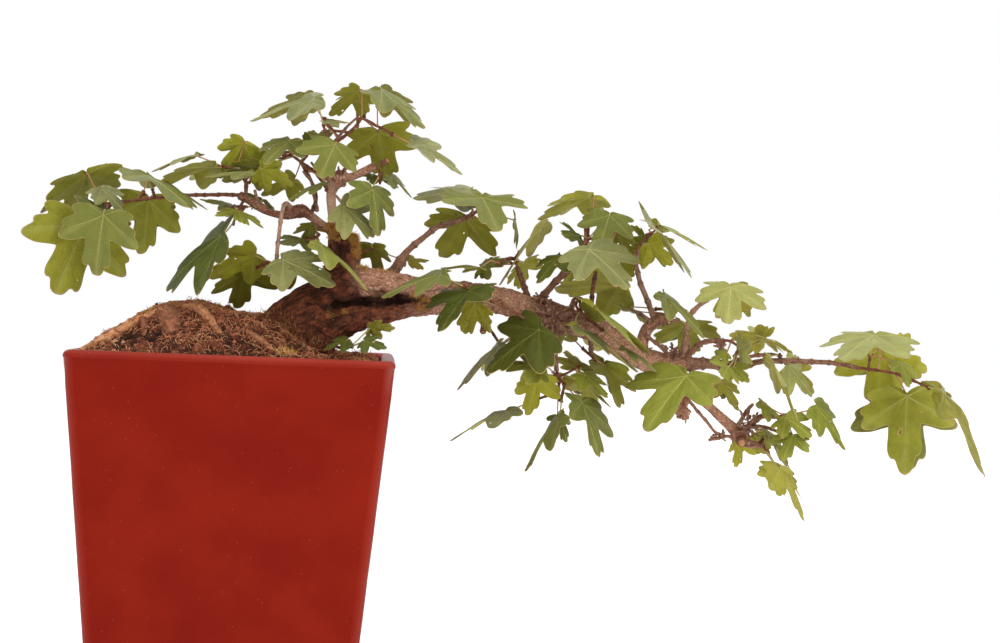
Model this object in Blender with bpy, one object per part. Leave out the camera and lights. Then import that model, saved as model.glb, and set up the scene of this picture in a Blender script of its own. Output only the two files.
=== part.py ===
"""Field maple bonsai in a tall square glazed pot, trained as a low cascade to the right.

Sizes are in millimetres in the tables below and become metres when a mesh is made. The origin is the
middle of the pot's flat underside, +Z is up, +X runs along the cascade and -Y is the front of the tree.
The trunk and the two lengths of the cascade limb follow one spine. Every other bough is a tapering tube
that is cut back 0.3 mm from the wood it grows on. Each mass of foliage is one stem with twigs, leaf
stalks and blades that a seeded rule joins to it, united into one closed solid.
"""

import math
import random
from dataclasses import dataclass, replace

import bmesh
import bpy
import numpy as np
from mathutils import Matrix, Vector
from mathutils.bvhtree import BVHTree

MM = 0.001
GAP = 0.3

# Pot: outer half width at the rim and at the underside, and what follows from them
POT_HEIGHT = 260.0
RIM_HALF = 100.0
BASE_HALF = 77.0
WALL = 9.0
FLOOR = 11.0
CORNER_RADIUS = 7.0
CORNER_STEPS = 3
LIP_RADIUS = 3.6
LIP_STEPS = 3
FOOT_CHAMFER = 1.5
DRAIN_RADIUS = 7.0
DRAIN_PLACE = 34.0

# Soil: the crest of the mound from left to right, as (x, z)
MOUND_CREST = ((-100, 259), (-86, 270), (-57, 286), (-30, 292.5), (4, 286), (24, 280), (52, 262), (100, 257))
SOIL_EDGE = 256.0
MOUND_FALL = 1.9
SOIL_CELLS = 9

GROUND = 262.0
FRONT = np.array((0.0, -1.0, 0.0))
VIEWPOINT = np.array((90.0, -1165.0, 293.0))

# Spine of the trunk and the cascade limb, as (x, y, z, radius)
SPINE = (
    (18, -2, 246, 30), (29, -2, 266, 26), (43, -2, 281, 23.5), (60, -1, 291, 21.5), (79, 0, 298, 18.5),
    (98, 0, 300.5, 15), (121, -1, 301, 12.2), (145, -2, 301.5, 10), (168, -2, 300, 8.8), (184, -1, 296, 9.4),
    (197, 0, 291.5, 11), (215, 0, 288.5, 8.6), (236, 1, 281, 8.2), (253, 1, 271, 7.8), (268, 1, 264.5, 7.6),
    (281, 0, 262, 7.4), (292, 0, 262, 8.2),
)
TRUNK_END = 78.0
LIMB_BEND = 206.0
CLEFT_FROM, CLEFT_TO = 62.0, 124.0
CLEFT_ANGLE = math.radians(-14)
CLEFT_WIDTH = math.radians(21)
CLEFT_DEPTH = 0.5

BLADE_THICK = 1.0
STALK_RADIUS = 0.62
TWIG_RADIUS = 1.0
STEM_RADIUS = 1.3
STALK_REACH = 25.0
KNEE = 2.2
KNEE_FROM = 0.35
CLEAR_OF_BLADE = 0.8
CLEAR_STEP = 4.0
CLEAR_TRIES = 9
NODE_TRIES = 4
STEM_SIDES = 4

# Half of a leaf's outline, from the tip of the middle lobe round to the notch at the stalk, as
# (degrees from the midrib, share of the blade's length)
LEAF_OUTLINE = (
    (0, 1.0), (17, 0.8), (33, 0.43), (48, 0.8), (62, 0.93), (78, 0.7), (98, 0.38), (118, 0.47), (180, 0.07),
)
BLADE_MIDDLE = 0.2
BLADE_ARCH = 0.1


@dataclass(frozen=True)
class Limb:
    """A tapering bough: its knots are (x, y, z, radius) and it is seated on the wood named in `on`."""

    name: str
    on: tuple
    knots: tuple
    sides: int = 6
    step: float = 7.0


@dataclass(frozen=True)
class Leaf:
    """A blade by the place of its heart, the reach of its middle lobe and its turn about that lobe.

    A roll of 0 shows the upper side to the front, and one of 180 the underside. The fold is the rise of
    the side lobes as a share of their distance from the midrib, so they droop where it is below zero.
    """

    heart: tuple
    reach: tuple
    roll: float
    fold: float = -0.12


@dataclass(frozen=True)
class Mass:
    """A mass of foliage on the limb `on`: a stem route, its leaves, and the share that has a fellow behind."""

    name: str
    on: str
    seed: int
    stem: tuple
    leaves: tuple
    stem_radius: float = STEM_RADIUS
    fellows: float = 0.5


LIMBS = (
    Limb("leader", ("trunk",), (
        (58, 0.5, 330, 3.9), (56, 0.3, 345, 3.4), (54.5, 0, 358, 3.2), (54, 0, 368, 3.6), (57, 0, 375, 5.6),
        (58, 0, 380, 3.4)), 8),
    Limb("leader_stub", ("leader",), ((58, -1, 375, 3.2), (68, -3, 378, 2.7), (82, -6, 385, 2.9))),
    Limb("left_bough", ("trunk", "leader"), (
        (58, -1, 339, 3.2), (42, -3, 350, 3.0), (35, -3, 353.5, 5.0), (27, -3, 351.5, 4.2), (22, -3, 350.5, 2.9),
        (14, -3, 352, 2.6), (7.5, -2, 355.5, 3.5), (0, 0, 359.5, 2.6), (-6, 0, 362.5, 3.1)), 8, 5.0),
    Limb("hanging_twig", ("left_bough",), (
        (30, -4, 354, 1.7), (25, -9, 357.5, 1.7), (22.5, -12, 349, 1.5), (21.5, -13, 336, 1.5), (20.7, -13, 322, 1.4))),
    Limb("inner_twig", ("left_bough",), ((41, -2, 351, 1.8), (44, -1, 361, 1.5), (42, 0, 371, 1.4), (36, 0, 381, 1.2))),
    Limb("rising_twig_near", ("limb_inner",), (
        (92, -2, 308, 4.2), (101, -7, 323, 3.6), (105, -8, 330, 2.4), (115, -8, 339, 2.1), (125, -8, 347, 2.0),
        (136, -8, 351, 2.1), (146, -8, 355.5, 1.6))),
    Limb("top_stub", ("limb_inner",), ((187, -2, 302, 2.0), (178.5, -3, 322.5, 1.6))),
    Limb("rising_twig_far", ("limb_inner",), ((190, -4, 296, 2.5), (201.5, -11, 312, 2.2), (212, -16, 322.5, 2.1))),
    Limb("upright_twig", ("limb_outer",), ((229, 0, 286, 1.7), (229, 0, 302, 1.5), (231, 0, 320, 1.3))),
    Limb("knot_stub", ("limb_inner",), ((198, -5, 291, 4.4), (191, -19, 281.5, 2.9))),
    Limb("hanging_spur", ("limb_inner",), ((202, -6, 288, 2.6), (204, -15, 276, 1.7), (206, -16, 255.5, 1.5))),
    Limb("limb_spur", ("limb_outer",), ((214, -3, 290, 3.6), (216, -10, 303, 1.4))),
    Limb("under_spur", ("limb_outer",), ((229, 3, 282, 2.2), (231, 7, 267, 1.4))),
    Limb("stub_branch", ("limb_outer",), (
        (263, 1, 267, 4.8), (266, 0, 283, 4.1), (272, 0, 289.5, 4.0), (278, -1, 293.5, 4.4)), 8),
    Limb("thin_bough", ("stub_branch",), (
        (272, 0, 290, 2.2), (267, 0, 304, 1.8), (262, 0, 314.5, 1.7), (258, 0, 329, 1.5), (258, 0, 337, 1.6))),
    Limb("fork_twig", ("limb_outer", "end_branch"), (
        (292, 0, 263, 3.4), (293.5, 0, 275, 2.6), (294, 0, 288, 1.7), (298, 0, 299, 1.6), (314, 0, 312, 1.5))),
    Limb("short_twig", ("limb_outer", "fork_twig", "end_branch"), ((293, -3, 266, 2.2), (303, -4, 277, 1.6), (318, -4, 279.5, 1.7))),
    Limb("end_branch", ("limb_outer",), (
        (290, 0, 262, 5.2), (303, 0, 263.5, 3.9), (319, 0, 263.5, 2.9), (334, 0, 263.5, 2.2), (348, 0, 266.7, 1.9),
        (371, 0, 267.5, 1.8), (393, 0, 267.2, 1.6), (411, 0, 264.5, 1.5))),
    Limb("second_twig", ("end_branch",), ((322, -1, 264, 1.7), (334, -5, 269, 1.3), (351, -5, 271.6, 1.2))),
    Limb("lower_branch", ("limb_outer",), (
        (283, 0, 260, 4.6), (304, 0, 241, 3.5), (319, 0, 228, 3.4), (330, 0, 219, 4.2), (334, -1, 214, 5.0)), 8),
    Limb("lower_twig", ("lower_branch",), ((333, -2, 218, 2.4), (345, -3, 229, 1.9), (357, -4, 230, 1.5))),
    Limb("drop_twig", ("lower_branch",), ((334, -3, 214, 2.0), (347, -5, 209.5, 1.4))),
    Limb("hanging_knob", ("limb_outer", "lower_branch"), ((288, -3, 258, 4.0), (291, -7, 243, 3.2), (291, -8, 232, 4.6))),
    Limb("surface_root", ("trunk",), (
        (20, -8, 284, 3.2), (-8, -14, 285.5, 3.0), (-34, -12, 290.5, 2.6), (-57, -6, 285.5, 2.2), (-80, -8, 272, 1.8),
        (-89, -9, 266, 1.5))),
)

MASSES = (
    Mass("foliage_left_tip", "left_bough", 11,
         ((-5, 0, 362.5), (-25, 2, 362), (-51, 5, 360), (-72, 8, 357), (-97, 10, 353)), (
             Leaf((-107, 8, 372), (-14, 28, -29), 119),
             Leaf((-103, -14, 338), (-16, -7, -45), 158, -0.12),
             Leaf((-88, -34, 344), (-4, 4, -38), 28, 0.0),
             Leaf((-90, -26, 347), (-18, -1, 9), 65),
             Leaf((-68, 22, 358), (-3, 4, -36), -152),
             Leaf((-94, -10, 362), (16, -4, -14), -60),
             Leaf((-63, -22, 371), (31, -30, -21), -78))),
    Mass("foliage_left_top", "left_bough", 12, ((-2, 1, 361), (-3, 4, 372), (-9, 5, 379), (-18, 4, 381)), (
        Leaf((-37, 6, 388), (-28, 4, -12), 86),
        Leaf((-26, 14, 381), (-36, 6, -12), 102),
        Leaf((-5, 4, 397), (-14, 4, -20), 140, -0.3),
        Leaf((7, 8, 381), (-26, 8, -9), 118),
        Leaf((1, -26, 376), (-28, -3, -5), 80))),
    Mass("foliage_left_low", "left_bough", 13, ((-2, -1, 361), (-6, -8, 352), (-8.5, -11, 343)), (
        Leaf((-14, -30, 334), (-36, 20, -34), 68),
        Leaf((-5, -16, 351), (4, -16, -8), -40, -0.2),
        Leaf((-12, 6, 355), (-20, -4, 4), 75),
        Leaf((8, 14, 361), (-8, 14, -1), 120)), 1.1),
    Mass("foliage_inner", "inner_twig", 14, ((36, 0, 381), (33, 0, 386), (27, -2, 390)), (
        Leaf((2, 26, 394), (2, 12, -15), -168),
        Leaf((26, -14, 398), (-14, -17, -17), 44),
        Leaf((8, -4, 380), (21, 2, -9), -130),
        Leaf((37, 6, 395), (-2, 3, 12), 40),
        Leaf((28, 18, 375), (-21, 4, -11), 125),
        Leaf((45, 10, 401), (-10, 14, 6), 20),
        Leaf((63, -32, 356), (21, 3, -17), -52),
        Leaf((48, -24, 371), (-21, -3, -12), 78)), 1.1, 0.5),
    Mass("foliage_hanging", "hanging_twig", 15, ((20.7, -13, 322), (19, -14, 318.5), (14, -13, 319.5)), (
        Leaf((26, -34, 320), (34, -10, -15), -56),
        Leaf((6, -10, 323), (-29, 3, -16), 125),
        Leaf((-2, 16, 311), (-5, 20, -23), 150)), 1.1),
    Mass("foliage_apex", "leader", 16,
         ((57, 0, 378), (50, 1, 385), (50, 2, 394), (58, 2, 402), (66, 2, 409), (73, 2, 418)), (
             Leaf((41, -16, 426), (-41, 2, -16), 72),
             Leaf((69, 6, 435), (-19, 6, -16), 125, -0.25),
             Leaf((84, -8, 434), (30, -8, -23), -71),
             Leaf((107, -22, 398), (32, 3, -17), -72, 0.08),
             Leaf((83, 20, 410), (7, 6, -31), 185),
             Leaf((48, -4, 413), (17, 3, 0), -80),
             Leaf((56, -36, 395), (-8, -11, -22), 0, -0.2))),
    Mass("foliage_stub", "leader_stub", 17, ((82, -6, 385), (86, -4, 381), (86, 2, 375)), (
        Leaf((81, -26, 368), (5, -9, -30), -50),
        Leaf((80, 9, 380), (18, -7, -8), -75),
        Leaf((93, 2, 379), (14, -2, -13), -72)), 1.0),
    Mass("foliage_trunk_left", "trunk", 18, ((54, -3, 328), (47, -10, 333), (45, -15, 336)), (
        Leaf((50, -38, 330), (31, -2, -27), -82),
        Leaf((36, 4, 335), (-13, -14, -4), 60),
        Leaf((43, 11, 346), (-6, 14, -12), 140)), 1.1, 0.3),
    Mass("foliage_trunk_right", "trunk", 19, ((66, 2, 324), (76, 9, 329), (84, 11, 332)), (
        Leaf((82, 10, 333), (6, 8, -19), -135),
        Leaf((107, 11, 324), (13, -7, 1), -119)), 1.1),
    Mass("foliage_rising_near", "rising_twig_near", 20, ((146, -8, 355.5), (150, -9, 358), (155, -10, 361)), (
        Leaf((152, -26, 366), (9, -33, -23), -28, 0.1),
        Leaf((145, -2, 372), (-37, -13, -8), 69),
        Leaf((143, 5, 354), (-13, 22, -26), 164, -0.2),
        Leaf((175, -14, 353), (1, -10, -19), -85))),
    Mass("foliage_top_stub", "top_stub", 21, ((178.5, -3, 322.5), (177, -3, 328), (179, -4, 333)), (
        Leaf((192, -16, 349), (-26, 4, -39), 100),
        Leaf((154, -8, 321), (-26, 1, -1), 93),
        Leaf((155, -4, 322), (18, -10, 4), -60),
        Leaf((184, 13, 326), (-1, 15, -17), 136)), 1.0),
    Mass("foliage_knot", "knot_stub", 22,
         ((191, -19, 281.5), (186, -25, 286), (176, -28, 293), (167, -30, 297)), (
             Leaf((127, -37, 315), (-37, 5, -15), 79),
             Leaf((145, -44, 305), (-18, -25, -26), 58, 0.05),
             Leaf((150, -26, 298), (-6, 13, -20), -150),
             Leaf((191, -41, 282), (-33, 0, -28), 52),
             Leaf((167, -16, 270), (-26, 4, -30), 83)), 1.1, 0.5),
    Mass("foliage_rising_far", "rising_twig_far", 23,
         ((212, -16, 322.5), (216, -17, 329), (219, -15, 337), (225, -10, 344)), (
             Leaf((226, 2, 371), (-33, 20, -15), 111),
             Leaf((237, -14, 359), (-7, -9, -22), 15, -0.2),
             Leaf((221, -41, 335), (25, -16, -24), -45),
             Leaf((204, -29, 330), (-15, -10, -18), 60),
             Leaf((225, 14, 330), (-14, 5, -17), 125),
             Leaf((218, -5, 345), (-12, -17, -1), 40))),
    Mass("foliage_upright", "upright_twig", 24, ((231, 0, 320), (233, 3, 327), (239, 6, 333)), (
        Leaf((249, 18, 313), (-41, 17, -4), 120),
        Leaf((246, 10, 349), (9, 4, -17), -121),
        Leaf((247, 21, 338), (13, 3, -18), -135)), 1.1),
    Mass("foliage_hanging_spur", "hanging_spur", 25, ((206, -16, 255.5), (208, -17, 252), (220, -17, 258.5)), (
        Leaf((193, -46, 258), (-27, -2, 1), 63),
        Leaf((192, -27, 251), (-5, 4, -25), 150, -0.4),
        Leaf((173, -20, 228), (-36, -8, -20), 88),
        Leaf((207, -29, 225), (-20, 3, -34), 88),
        Leaf((209, -4, 225), (7, 0, -17), -50),
        Leaf((221, -38, 236), (10, -14, -33), -60, 0.0),
        Leaf((222, -14, 249), (15, 16, -23), -112),
        Leaf((223, 4, 257), (-10, -15, 12), 120),
        Leaf((223, -29, 254), (14, -9, -14), -60)), 1.0, 0.45),
    Mass("foliage_limb_front", "limb_spur", 26, ((216, -10, 303), (219, -15, 304), (225, -20, 301)), (
        Leaf((229, -29, 297), (38, 20, -28), -88),
        Leaf((218, -35, 284), (39, 2, -26), -86),
        Leaf((249, -27, 272), (21, -3, -14), -80)), 1.0, 0.3),
    Mass("foliage_limb_under", "under_spur", 27, ((231, 7, 267), (234, 9, 263)), (
        Leaf((241, 14, 260), (12, 15, -29), -113, 0.1),
        Leaf((213, 19, 281), (-6, 12, -20), 130)), 1.0),
    Mass("foliage_thin_bough", "thin_bough", 28, ((258, 0, 337), (261, 1, 342), (266, 2, 347), (271, 2, 352)), (
        Leaf((265, -14, 357), (24, -36, -39), -83, -0.04),
        Leaf((274, 4, 355), (35, 14, -15), -85),
        Leaf((266, 0, 342), (17, 2, -13), -140),
        Leaf((266, 7, 343), (-10, 15, 0), 150)), 1.0, 0.7),
    Mass("foliage_fork", "fork_twig", 29, ((314, 0, 312), (318, 0, 315)), (
        Leaf((319, -18, 315), (-6, -20, -24), 15),
        Leaf((328, 7, 316), (10, 2, -20), -124)), 1.1, 1.0),
    Mass("foliage_junction", "stub_branch", 30, ((278, -1, 293.5), (281, -5, 299), (279, -12, 303)), (
        Leaf((274, -26, 307), (26, -7, -26), -70),
        Leaf((297, 22, 289), (8, 20, -21), -160),
        Leaf((258, 8, 298), (13, 14, -10), -100)), 1.2, 0.6),
    Mass("foliage_short_twig", "short_twig", 31, ((318, -4, 279.5), (323, -5, 279), (330, -6, 275)), (
        Leaf((344, -8, 282), (-24, -5, 2), 127),
        Leaf((344, -4, 282), (19, -8, -8), -95),
        Leaf((317, -21, 271), (-11, 1, -6), 58),
        Leaf((327, -14, 274), (5, -14, 6), -40),
        Leaf((319, -18, 262), (-6, -13, -6), 10),
        Leaf((324, -13, 262), (9, -8, -9), -20)), 1.1, 0.6),
    Mass("foliage_big_leaf", "hanging_knob", 32, ((291, -8, 232), (292, -15, 239), (291, -22, 246)), (
        Leaf((287, -44, 256), (-28, -20, -35), 50, 0.0),
        Leaf((317, -7, 251), (13, 3, -18), -118),
        Leaf((317, 11, 234), (2, 10, -20), -130)), 1.1, 0.7),
    Mass("foliage_end", "end_branch", 33, ((411, 0, 264.5), (425, 0, 263.5), (437, -2, 262)), (
        Leaf((415, -22, 287), (-29, -28, -17), 66),
        Leaf((438, 9, 275), (28, 4, 0), -130, -0.35),
        Leaf((428, 12, 277), (4, 4, -41), -110),
        Leaf((443, -8, 247), (2, 3, -53), 170),
        Leaf((433, -25, 269), (3, -9, -15), -35),
        Leaf((456, -20, 251), (31, 5, -52), -84)), 1.2, 0.75),
    Mass("foliage_second", "second_twig", 34, ((351, -5, 271.6), (356, -6, 271)), (
        Leaf((347, -20, 267), (18, -8, -38), -85),
        Leaf((362, -7, 264), (19, 7, -20), -50)), 1.0, 0.8),
    Mass("foliage_lower_tip", "lower_twig", 35, ((357, -4, 230), (362, -5, 231.5)), (
        Leaf((382, -10, 237), (20, -1, -27), -58),
        Leaf((343, -15, 239), (17, -2, -14), -70),
        Leaf((359, -19, 230), (15, -11, -11), -40),
        Leaf((362, -28, 219), (-8, -7, -16), 36)), 1.0),
    Mass("foliage_lower_drop", "drop_twig", 36, ((347, -5, 209.5), (351, -5, 206)), (
        Leaf((359, -8, 195), (18, 3, -34), -98),
        Leaf((360, 3, 195), (4, 10, -20), -130),
        Leaf((335, 6, 213), (-3, 3, -19), 140, -0.2),
        Leaf((343, 11, 215), (14, 12, -12), -140),
        Leaf((348, -12, 220), (17, -2, -25), -82)), 1.0, 0.6),
    Mass("foliage_foot", "trunk", 37, ((52, -10, 268), (64, -36, 266), (72, -52, 267)), (
        Leaf((69, -61, 271), (-14, -3, -6), 65),
        Leaf((80, -60, 271), (14, -5, -4), -50),
        Leaf((83, -40, 279), (16, 1, 1), -120)), 1.1, 0.5),
)


def unit(vector):
    """The vector at length one."""
    return vector / max(np.linalg.norm(vector), 1e-9)


def smooth_path(knots, step):
    """Points about `step` apart on a Catmull-Rom curve through the knots, each with its radius."""
    knots = np.asarray(knots, float)
    ends = np.vstack((2 * knots[0] - knots[1], knots, 2 * knots[-1] - knots[-2]))
    points = []
    for i in range(1, len(ends) - 2):
        a, b, c, d = ends[i - 1:i + 3]
        count = max(1, round(np.linalg.norm((c - b)[:3]) / step))
        for t in np.arange(count) / count:
            points.append(0.5 * (2 * b + (c - a) * t + (2 * a - 5 * b + 4 * c - d) * t * t
                                 + (3 * b - a - 3 * c + d) * t ** 3))
    points.append(knots[-1])
    return np.array(points)


def ring_axes(centres):
    """Two axes across the path at each point, carried along it from one that starts towards the front."""
    along = np.gradient(centres, axis=0)
    along /= np.linalg.norm(along, axis=1)[:, None]
    start = FRONT if abs(FRONT @ along[0]) < 0.95 else np.array((1.0, 0.0, 0.0))
    side = [start]
    for direction in along:
        side.append(unit(side[-1] - direction * (side[-1] @ direction)))
    return np.array(side[1:]), np.cross(along, side[1:])


def cleft_share(x, angle):
    """How much of the spine's radius the dark cleft leaves: a trough on the front of the fork."""
    along = np.clip((x - CLEFT_FROM) / (CLEFT_TO - CLEFT_FROM), 0, 1)
    return 1 - CLEFT_DEPTH * np.sin(np.pi * along) ** 0.7 * np.exp(-((angle - CLEFT_ANGLE) / CLEFT_WIDTH) ** 2)


def tube(points, sides, grow=0.0, shape=None):
    """A closed tube with flat ends along `points`, `grow` larger all round, as (vertices in mm, faces)."""
    centres, radii = points[:, :3].copy(), points[:, 3] + grow
    centres[0] += unit(centres[0] - centres[1]) * grow
    centres[-1] += unit(centres[-1] - centres[-2]) * grow
    side, up = ring_axes(centres)
    angles = (np.arange(sides) / sides * 2 + 0.5 / sides) * math.pi
    angles = (angles + math.pi) % (2 * math.pi) - math.pi
    share = np.ones((len(points), sides)) if shape is None else shape(centres[:, :1], angles[None, :])
    across = (side[:, None] * np.cos(angles)[None, :, None] + up[:, None] * np.sin(angles)[None, :, None])
    vertices = (centres[:, None] + across * (radii[:, None] * share)[..., None]).reshape(-1, 3)
    faces = []
    for i in range(len(points) - 1):
        for j in range(sides):
            k = (j + 1) % sides
            faces.append((i * sides + j, i * sides + k, (i + 1) * sides + k, (i + 1) * sides + j))
    faces.append(tuple(reversed(range(sides))))
    faces.append(tuple(range((len(points) - 1) * sides, len(points) * sides)))
    return vertices, faces


def make_object(name, vertices, faces, material, collection=None):
    """An object at the origin from vertices in mm, with its normals facing out."""
    mesh = bpy.data.meshes.new(name)
    mesh.from_pydata([Vector(v) * MM for v in vertices], [], faces)
    shape = bmesh.new()
    shape.from_mesh(mesh)
    bmesh.ops.recalc_face_normals(shape, faces=shape.faces)
    shape.to_mesh(mesh)
    shape.free()
    mesh.materials.append(material)
    thing = bpy.data.objects.new(name, mesh)
    (collection or bpy.context.scene.collection).objects.link(thing)
    return thing


def remove(things):
    """Deletes these objects and their meshes."""
    for thing in list(things):
        mesh = thing.data
        bpy.data.objects.remove(thing)
        bpy.data.meshes.remove(mesh)


def combine(thing, others, operation, solver="MANIFOLD"):
    """Applies one Boolean of `thing` with a collection of the others, which are then removed."""
    helper = bpy.data.collections.new("helper")
    bpy.context.scene.collection.children.link(helper)
    for other in others:
        for home in other.users_collection:
            home.objects.unlink(other)
        helper.objects.link(other)
    cut = thing.modifiers.new("combine", "BOOLEAN")
    cut.operation = operation
    cut.operand_type = "COLLECTION"
    cut.collection = helper
    cut.solver = solver
    graph = bpy.context.evaluated_depsgraph_get()
    result = bpy.data.meshes.new_from_object(thing.evaluated_get(graph))
    thing.modifiers.clear()
    old, thing.data = thing.data, result
    result.name = thing.name
    bpy.data.meshes.remove(old)
    remove(others)
    bpy.data.collections.remove(helper)


def shells_of(shape):
    """The shells of a bmesh, as lists of faces. A flap on an edge that four faces share is a shell of its own."""
    seen, shells = set(), []
    for start in shape.faces:
        if start in seen:
            continue
        shell, queue = [], [start]
        seen.add(start)
        while queue:
            face = queue.pop()
            shell.append(face)
            pairs = [edge.link_faces for edge in face.edges if len(edge.link_faces) == 2]
            for near in {near for pair in pairs for near in pair} - seen:
                seen.add(near)
                queue.append(near)
        shells.append(shell)
    return shells


def keep_main_shell(thing):
    """Triangulates a solid and keeps only its largest shell: hollows are filled and scraps dropped."""
    shape = bmesh.new()
    shape.from_mesh(thing.data)
    bmesh.ops.triangulate(shape, faces=shape.faces)
    shells = sorted(shells_of(shape), key=len)
    for shell in shells[:-1]:
        bmesh.ops.delete(shape, geom=shell, context="FACES")
    shape.to_mesh(thing.data)
    shape.free()
    return len(shells) - 1


def finish_material(name, colour, roughness, coat=0.0):
    """A Principled material in one colour."""
    material = bpy.data.materials.new(name)
    material.use_nodes = True
    shader = material.node_tree.nodes["Principled BSDF"]
    shader.inputs["Base Color"].default_value = (*colour, 1.0)
    shader.inputs["Roughness"].default_value = roughness
    shader.inputs["Metallic"].default_value = 0.0
    shader.inputs["Coat Weight"].default_value = coat
    return material


def square_ring(shape, half, z):
    """A loop of vertices round a square with rounded corners, at height z."""
    corner = min(CORNER_RADIUS, half)
    ring = []
    for quarter in range(4):
        for i in range(CORNER_STEPS + 1):
            turn = math.radians(90) * (quarter + i / CORNER_STEPS)
            middle = math.radians(90) * quarter + math.radians(45)
            x = math.copysign(half - corner, math.cos(middle)) + corner * math.cos(turn)
            y = math.copysign(half - corner, math.sin(middle)) + corner * math.sin(turn)
            ring.append(shape.verts.new(Vector((x, y, z)) * MM))
    return ring


def pot_half(z):
    """Outer half width of the pot at height z."""
    return BASE_HALF + (RIM_HALF - BASE_HALF) * z / POT_HEIGHT


def skin_rings(shape, rings):
    """Quads between loops of equal length, with a face on the first and the last."""
    for low, high in zip(rings, rings[1:]):
        for i in range(len(low)):
            k = (i + 1) % len(low)
            shape.faces.new((low[i], low[k], high[k], high[i]))
    shape.faces.new(tuple(reversed(rings[0])))
    shape.faces.new(rings[-1])


def pot(material):
    """The pot: tapering walls, a rounded lip, a floor and two drain holes beside the middle."""
    shape = bmesh.new()
    lip = pot_half(POT_HEIGHT) - LIP_RADIUS
    rings = [square_ring(shape, pot_half(0) - FOOT_CHAMFER, 0), square_ring(shape, pot_half(0), FOOT_CHAMFER)]
    for i in range(2 * LIP_STEPS + 1):
        turn = math.pi * i / (2 * LIP_STEPS)
        width = LIP_RADIUS if i <= LIP_STEPS else WALL - LIP_RADIUS
        rings.append(square_ring(shape, lip + width * math.cos(turn), POT_HEIGHT - LIP_RADIUS * (1 - math.sin(turn))))
    rings.append(square_ring(shape, pot_half(FLOOR) - WALL, FLOOR))
    skin_rings(shape, rings)
    bmesh.ops.recalc_face_normals(shape, faces=shape.faces)
    mesh = bpy.data.meshes.new("pot")
    shape.to_mesh(mesh)
    shape.free()
    mesh.materials.append(material)
    thing = bpy.data.objects.new("pot", mesh)
    bpy.context.scene.collection.objects.link(thing)
    drains = []
    for side in (-1, 1):
        points = np.array([(side * DRAIN_PLACE, 0, z, DRAIN_RADIUS) for z in (-5.0, FLOOR + 5.0)])
        drains.append(make_object("drain", *tube(points, 16), material))
    combine(thing, drains, "DIFFERENCE")
    return thing


def soil_height(x, y):
    """Height of the mound: its crest along x, falling to the rim at the front and back."""
    crest_x, crest_z = zip(*MOUND_CREST)
    inner = pot_half(SOIL_EDGE) - WALL
    crest = np.interp(x, crest_x, crest_z)
    return SOIL_EDGE + (crest - SOIL_EDGE) * (1 - np.abs(y / inner) ** MOUND_FALL)


def soil(material):
    """The filling of the pot, 0.3 mm clear of its walls, with the mound on top."""
    top, low = SOIL_EDGE - 2.0, FLOOR + GAP
    shape = bmesh.new()
    half_top, half_low = pot_half(top) - WALL - GAP, pot_half(low) - WALL - GAP
    places = np.linspace(-1, 1, SOIL_CELLS + 1)
    corner = 1 - 0.45 * CORNER_RADIUS / half_top

    def at(u, v, half, z):
        pull = corner if abs(u) == 1 and abs(v) == 1 else 1.0
        return shape.verts.new(Vector((u * half * pull, v * half * pull, z)) * MM)

    grid = [[at(u, v, half_top, float(soil_height(u * half_top, v * half_top))) for u in places] for v in places]
    for row, above in zip(grid, grid[1:]):
        for i in range(SOIL_CELLS):
            shape.faces.new((row[i], row[i + 1], above[i + 1], above[i]))
    edge = grid[0][:-1] + [row[-1] for row in grid[:-1]] + grid[-1][:0:-1] + [row[0] for row in grid[:0:-1]]
    walls = []
    for half, z in ((half_top, top), (half_low, low)):
        walls.append([shape.verts.new(Vector((v.co.x / half_top * half, v.co.y / half_top * half, z * MM)))
                      for v in edge])
    for high, under in zip((edge, walls[0]), walls):
        for i in range(len(edge)):
            k = (i + 1) % len(edge)
            shape.faces.new((high[k], high[i], under[i], under[k]))
    shape.faces.new(tuple(reversed(walls[-1])))
    bmesh.ops.recalc_face_normals(shape, faces=shape.faces)
    mesh = bpy.data.meshes.new("soil")
    shape.to_mesh(mesh)
    shape.free()
    mesh.materials.append(material)
    thing = bpy.data.objects.new("soil", mesh)
    bpy.context.scene.collection.objects.link(thing)
    return thing


def spine_part(first, last, step):
    """The spine's points between two places along x."""
    points = smooth_path(SPINE, step)
    inside = points[(points[:, 0] >= first) & (points[:, 0] <= last)]
    ends = [[np.interp(x, points[:, 0], points[:, i]) for i in range(4)] for x in (first, last)]
    inside = inside[(inside[:, 0] > first + step / 3) & (inside[:, 0] < last - step / 3)]
    return np.vstack((ends[:1], inside, ends[1:]))


def flat_foot(thing, grow):
    """Cuts a solid flat at ground level, or `grow` below it."""
    shape = bmesh.new()
    shape.from_mesh(thing.data)
    bmesh.ops.bisect_plane(shape, geom=shape.verts[:] + shape.edges[:] + shape.faces[:],
                           plane_co=Vector((0, 0, (GROUND - grow) * MM)), plane_no=(0, 0, 1), clear_inner=True)
    bmesh.ops.holes_fill(shape, edges=[edge for edge in shape.edges if edge.is_boundary])
    bmesh.ops.recalc_face_normals(shape, faces=shape.faces)
    shape.to_mesh(thing.data)
    shape.free()


STUMP = ((61, 0, 296, 15), (62, 1, 311, 12.5), (64, 1, 325, 10.8), (62, 2, 336, 8.8), (61, 2, 340, 5.0))
FLARES = (
    ((34, -2, 272, 16), (20, -26, 263, 11), (12, -38, 254, 8)),
    ((34, 2, 272, 16), (22, 26, 263, 11), (14, 38, 254, 8)),
    ((44, -4, 274, 16), (50, -22, 263, 10), (54, -32, 254, 7)),
)


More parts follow.
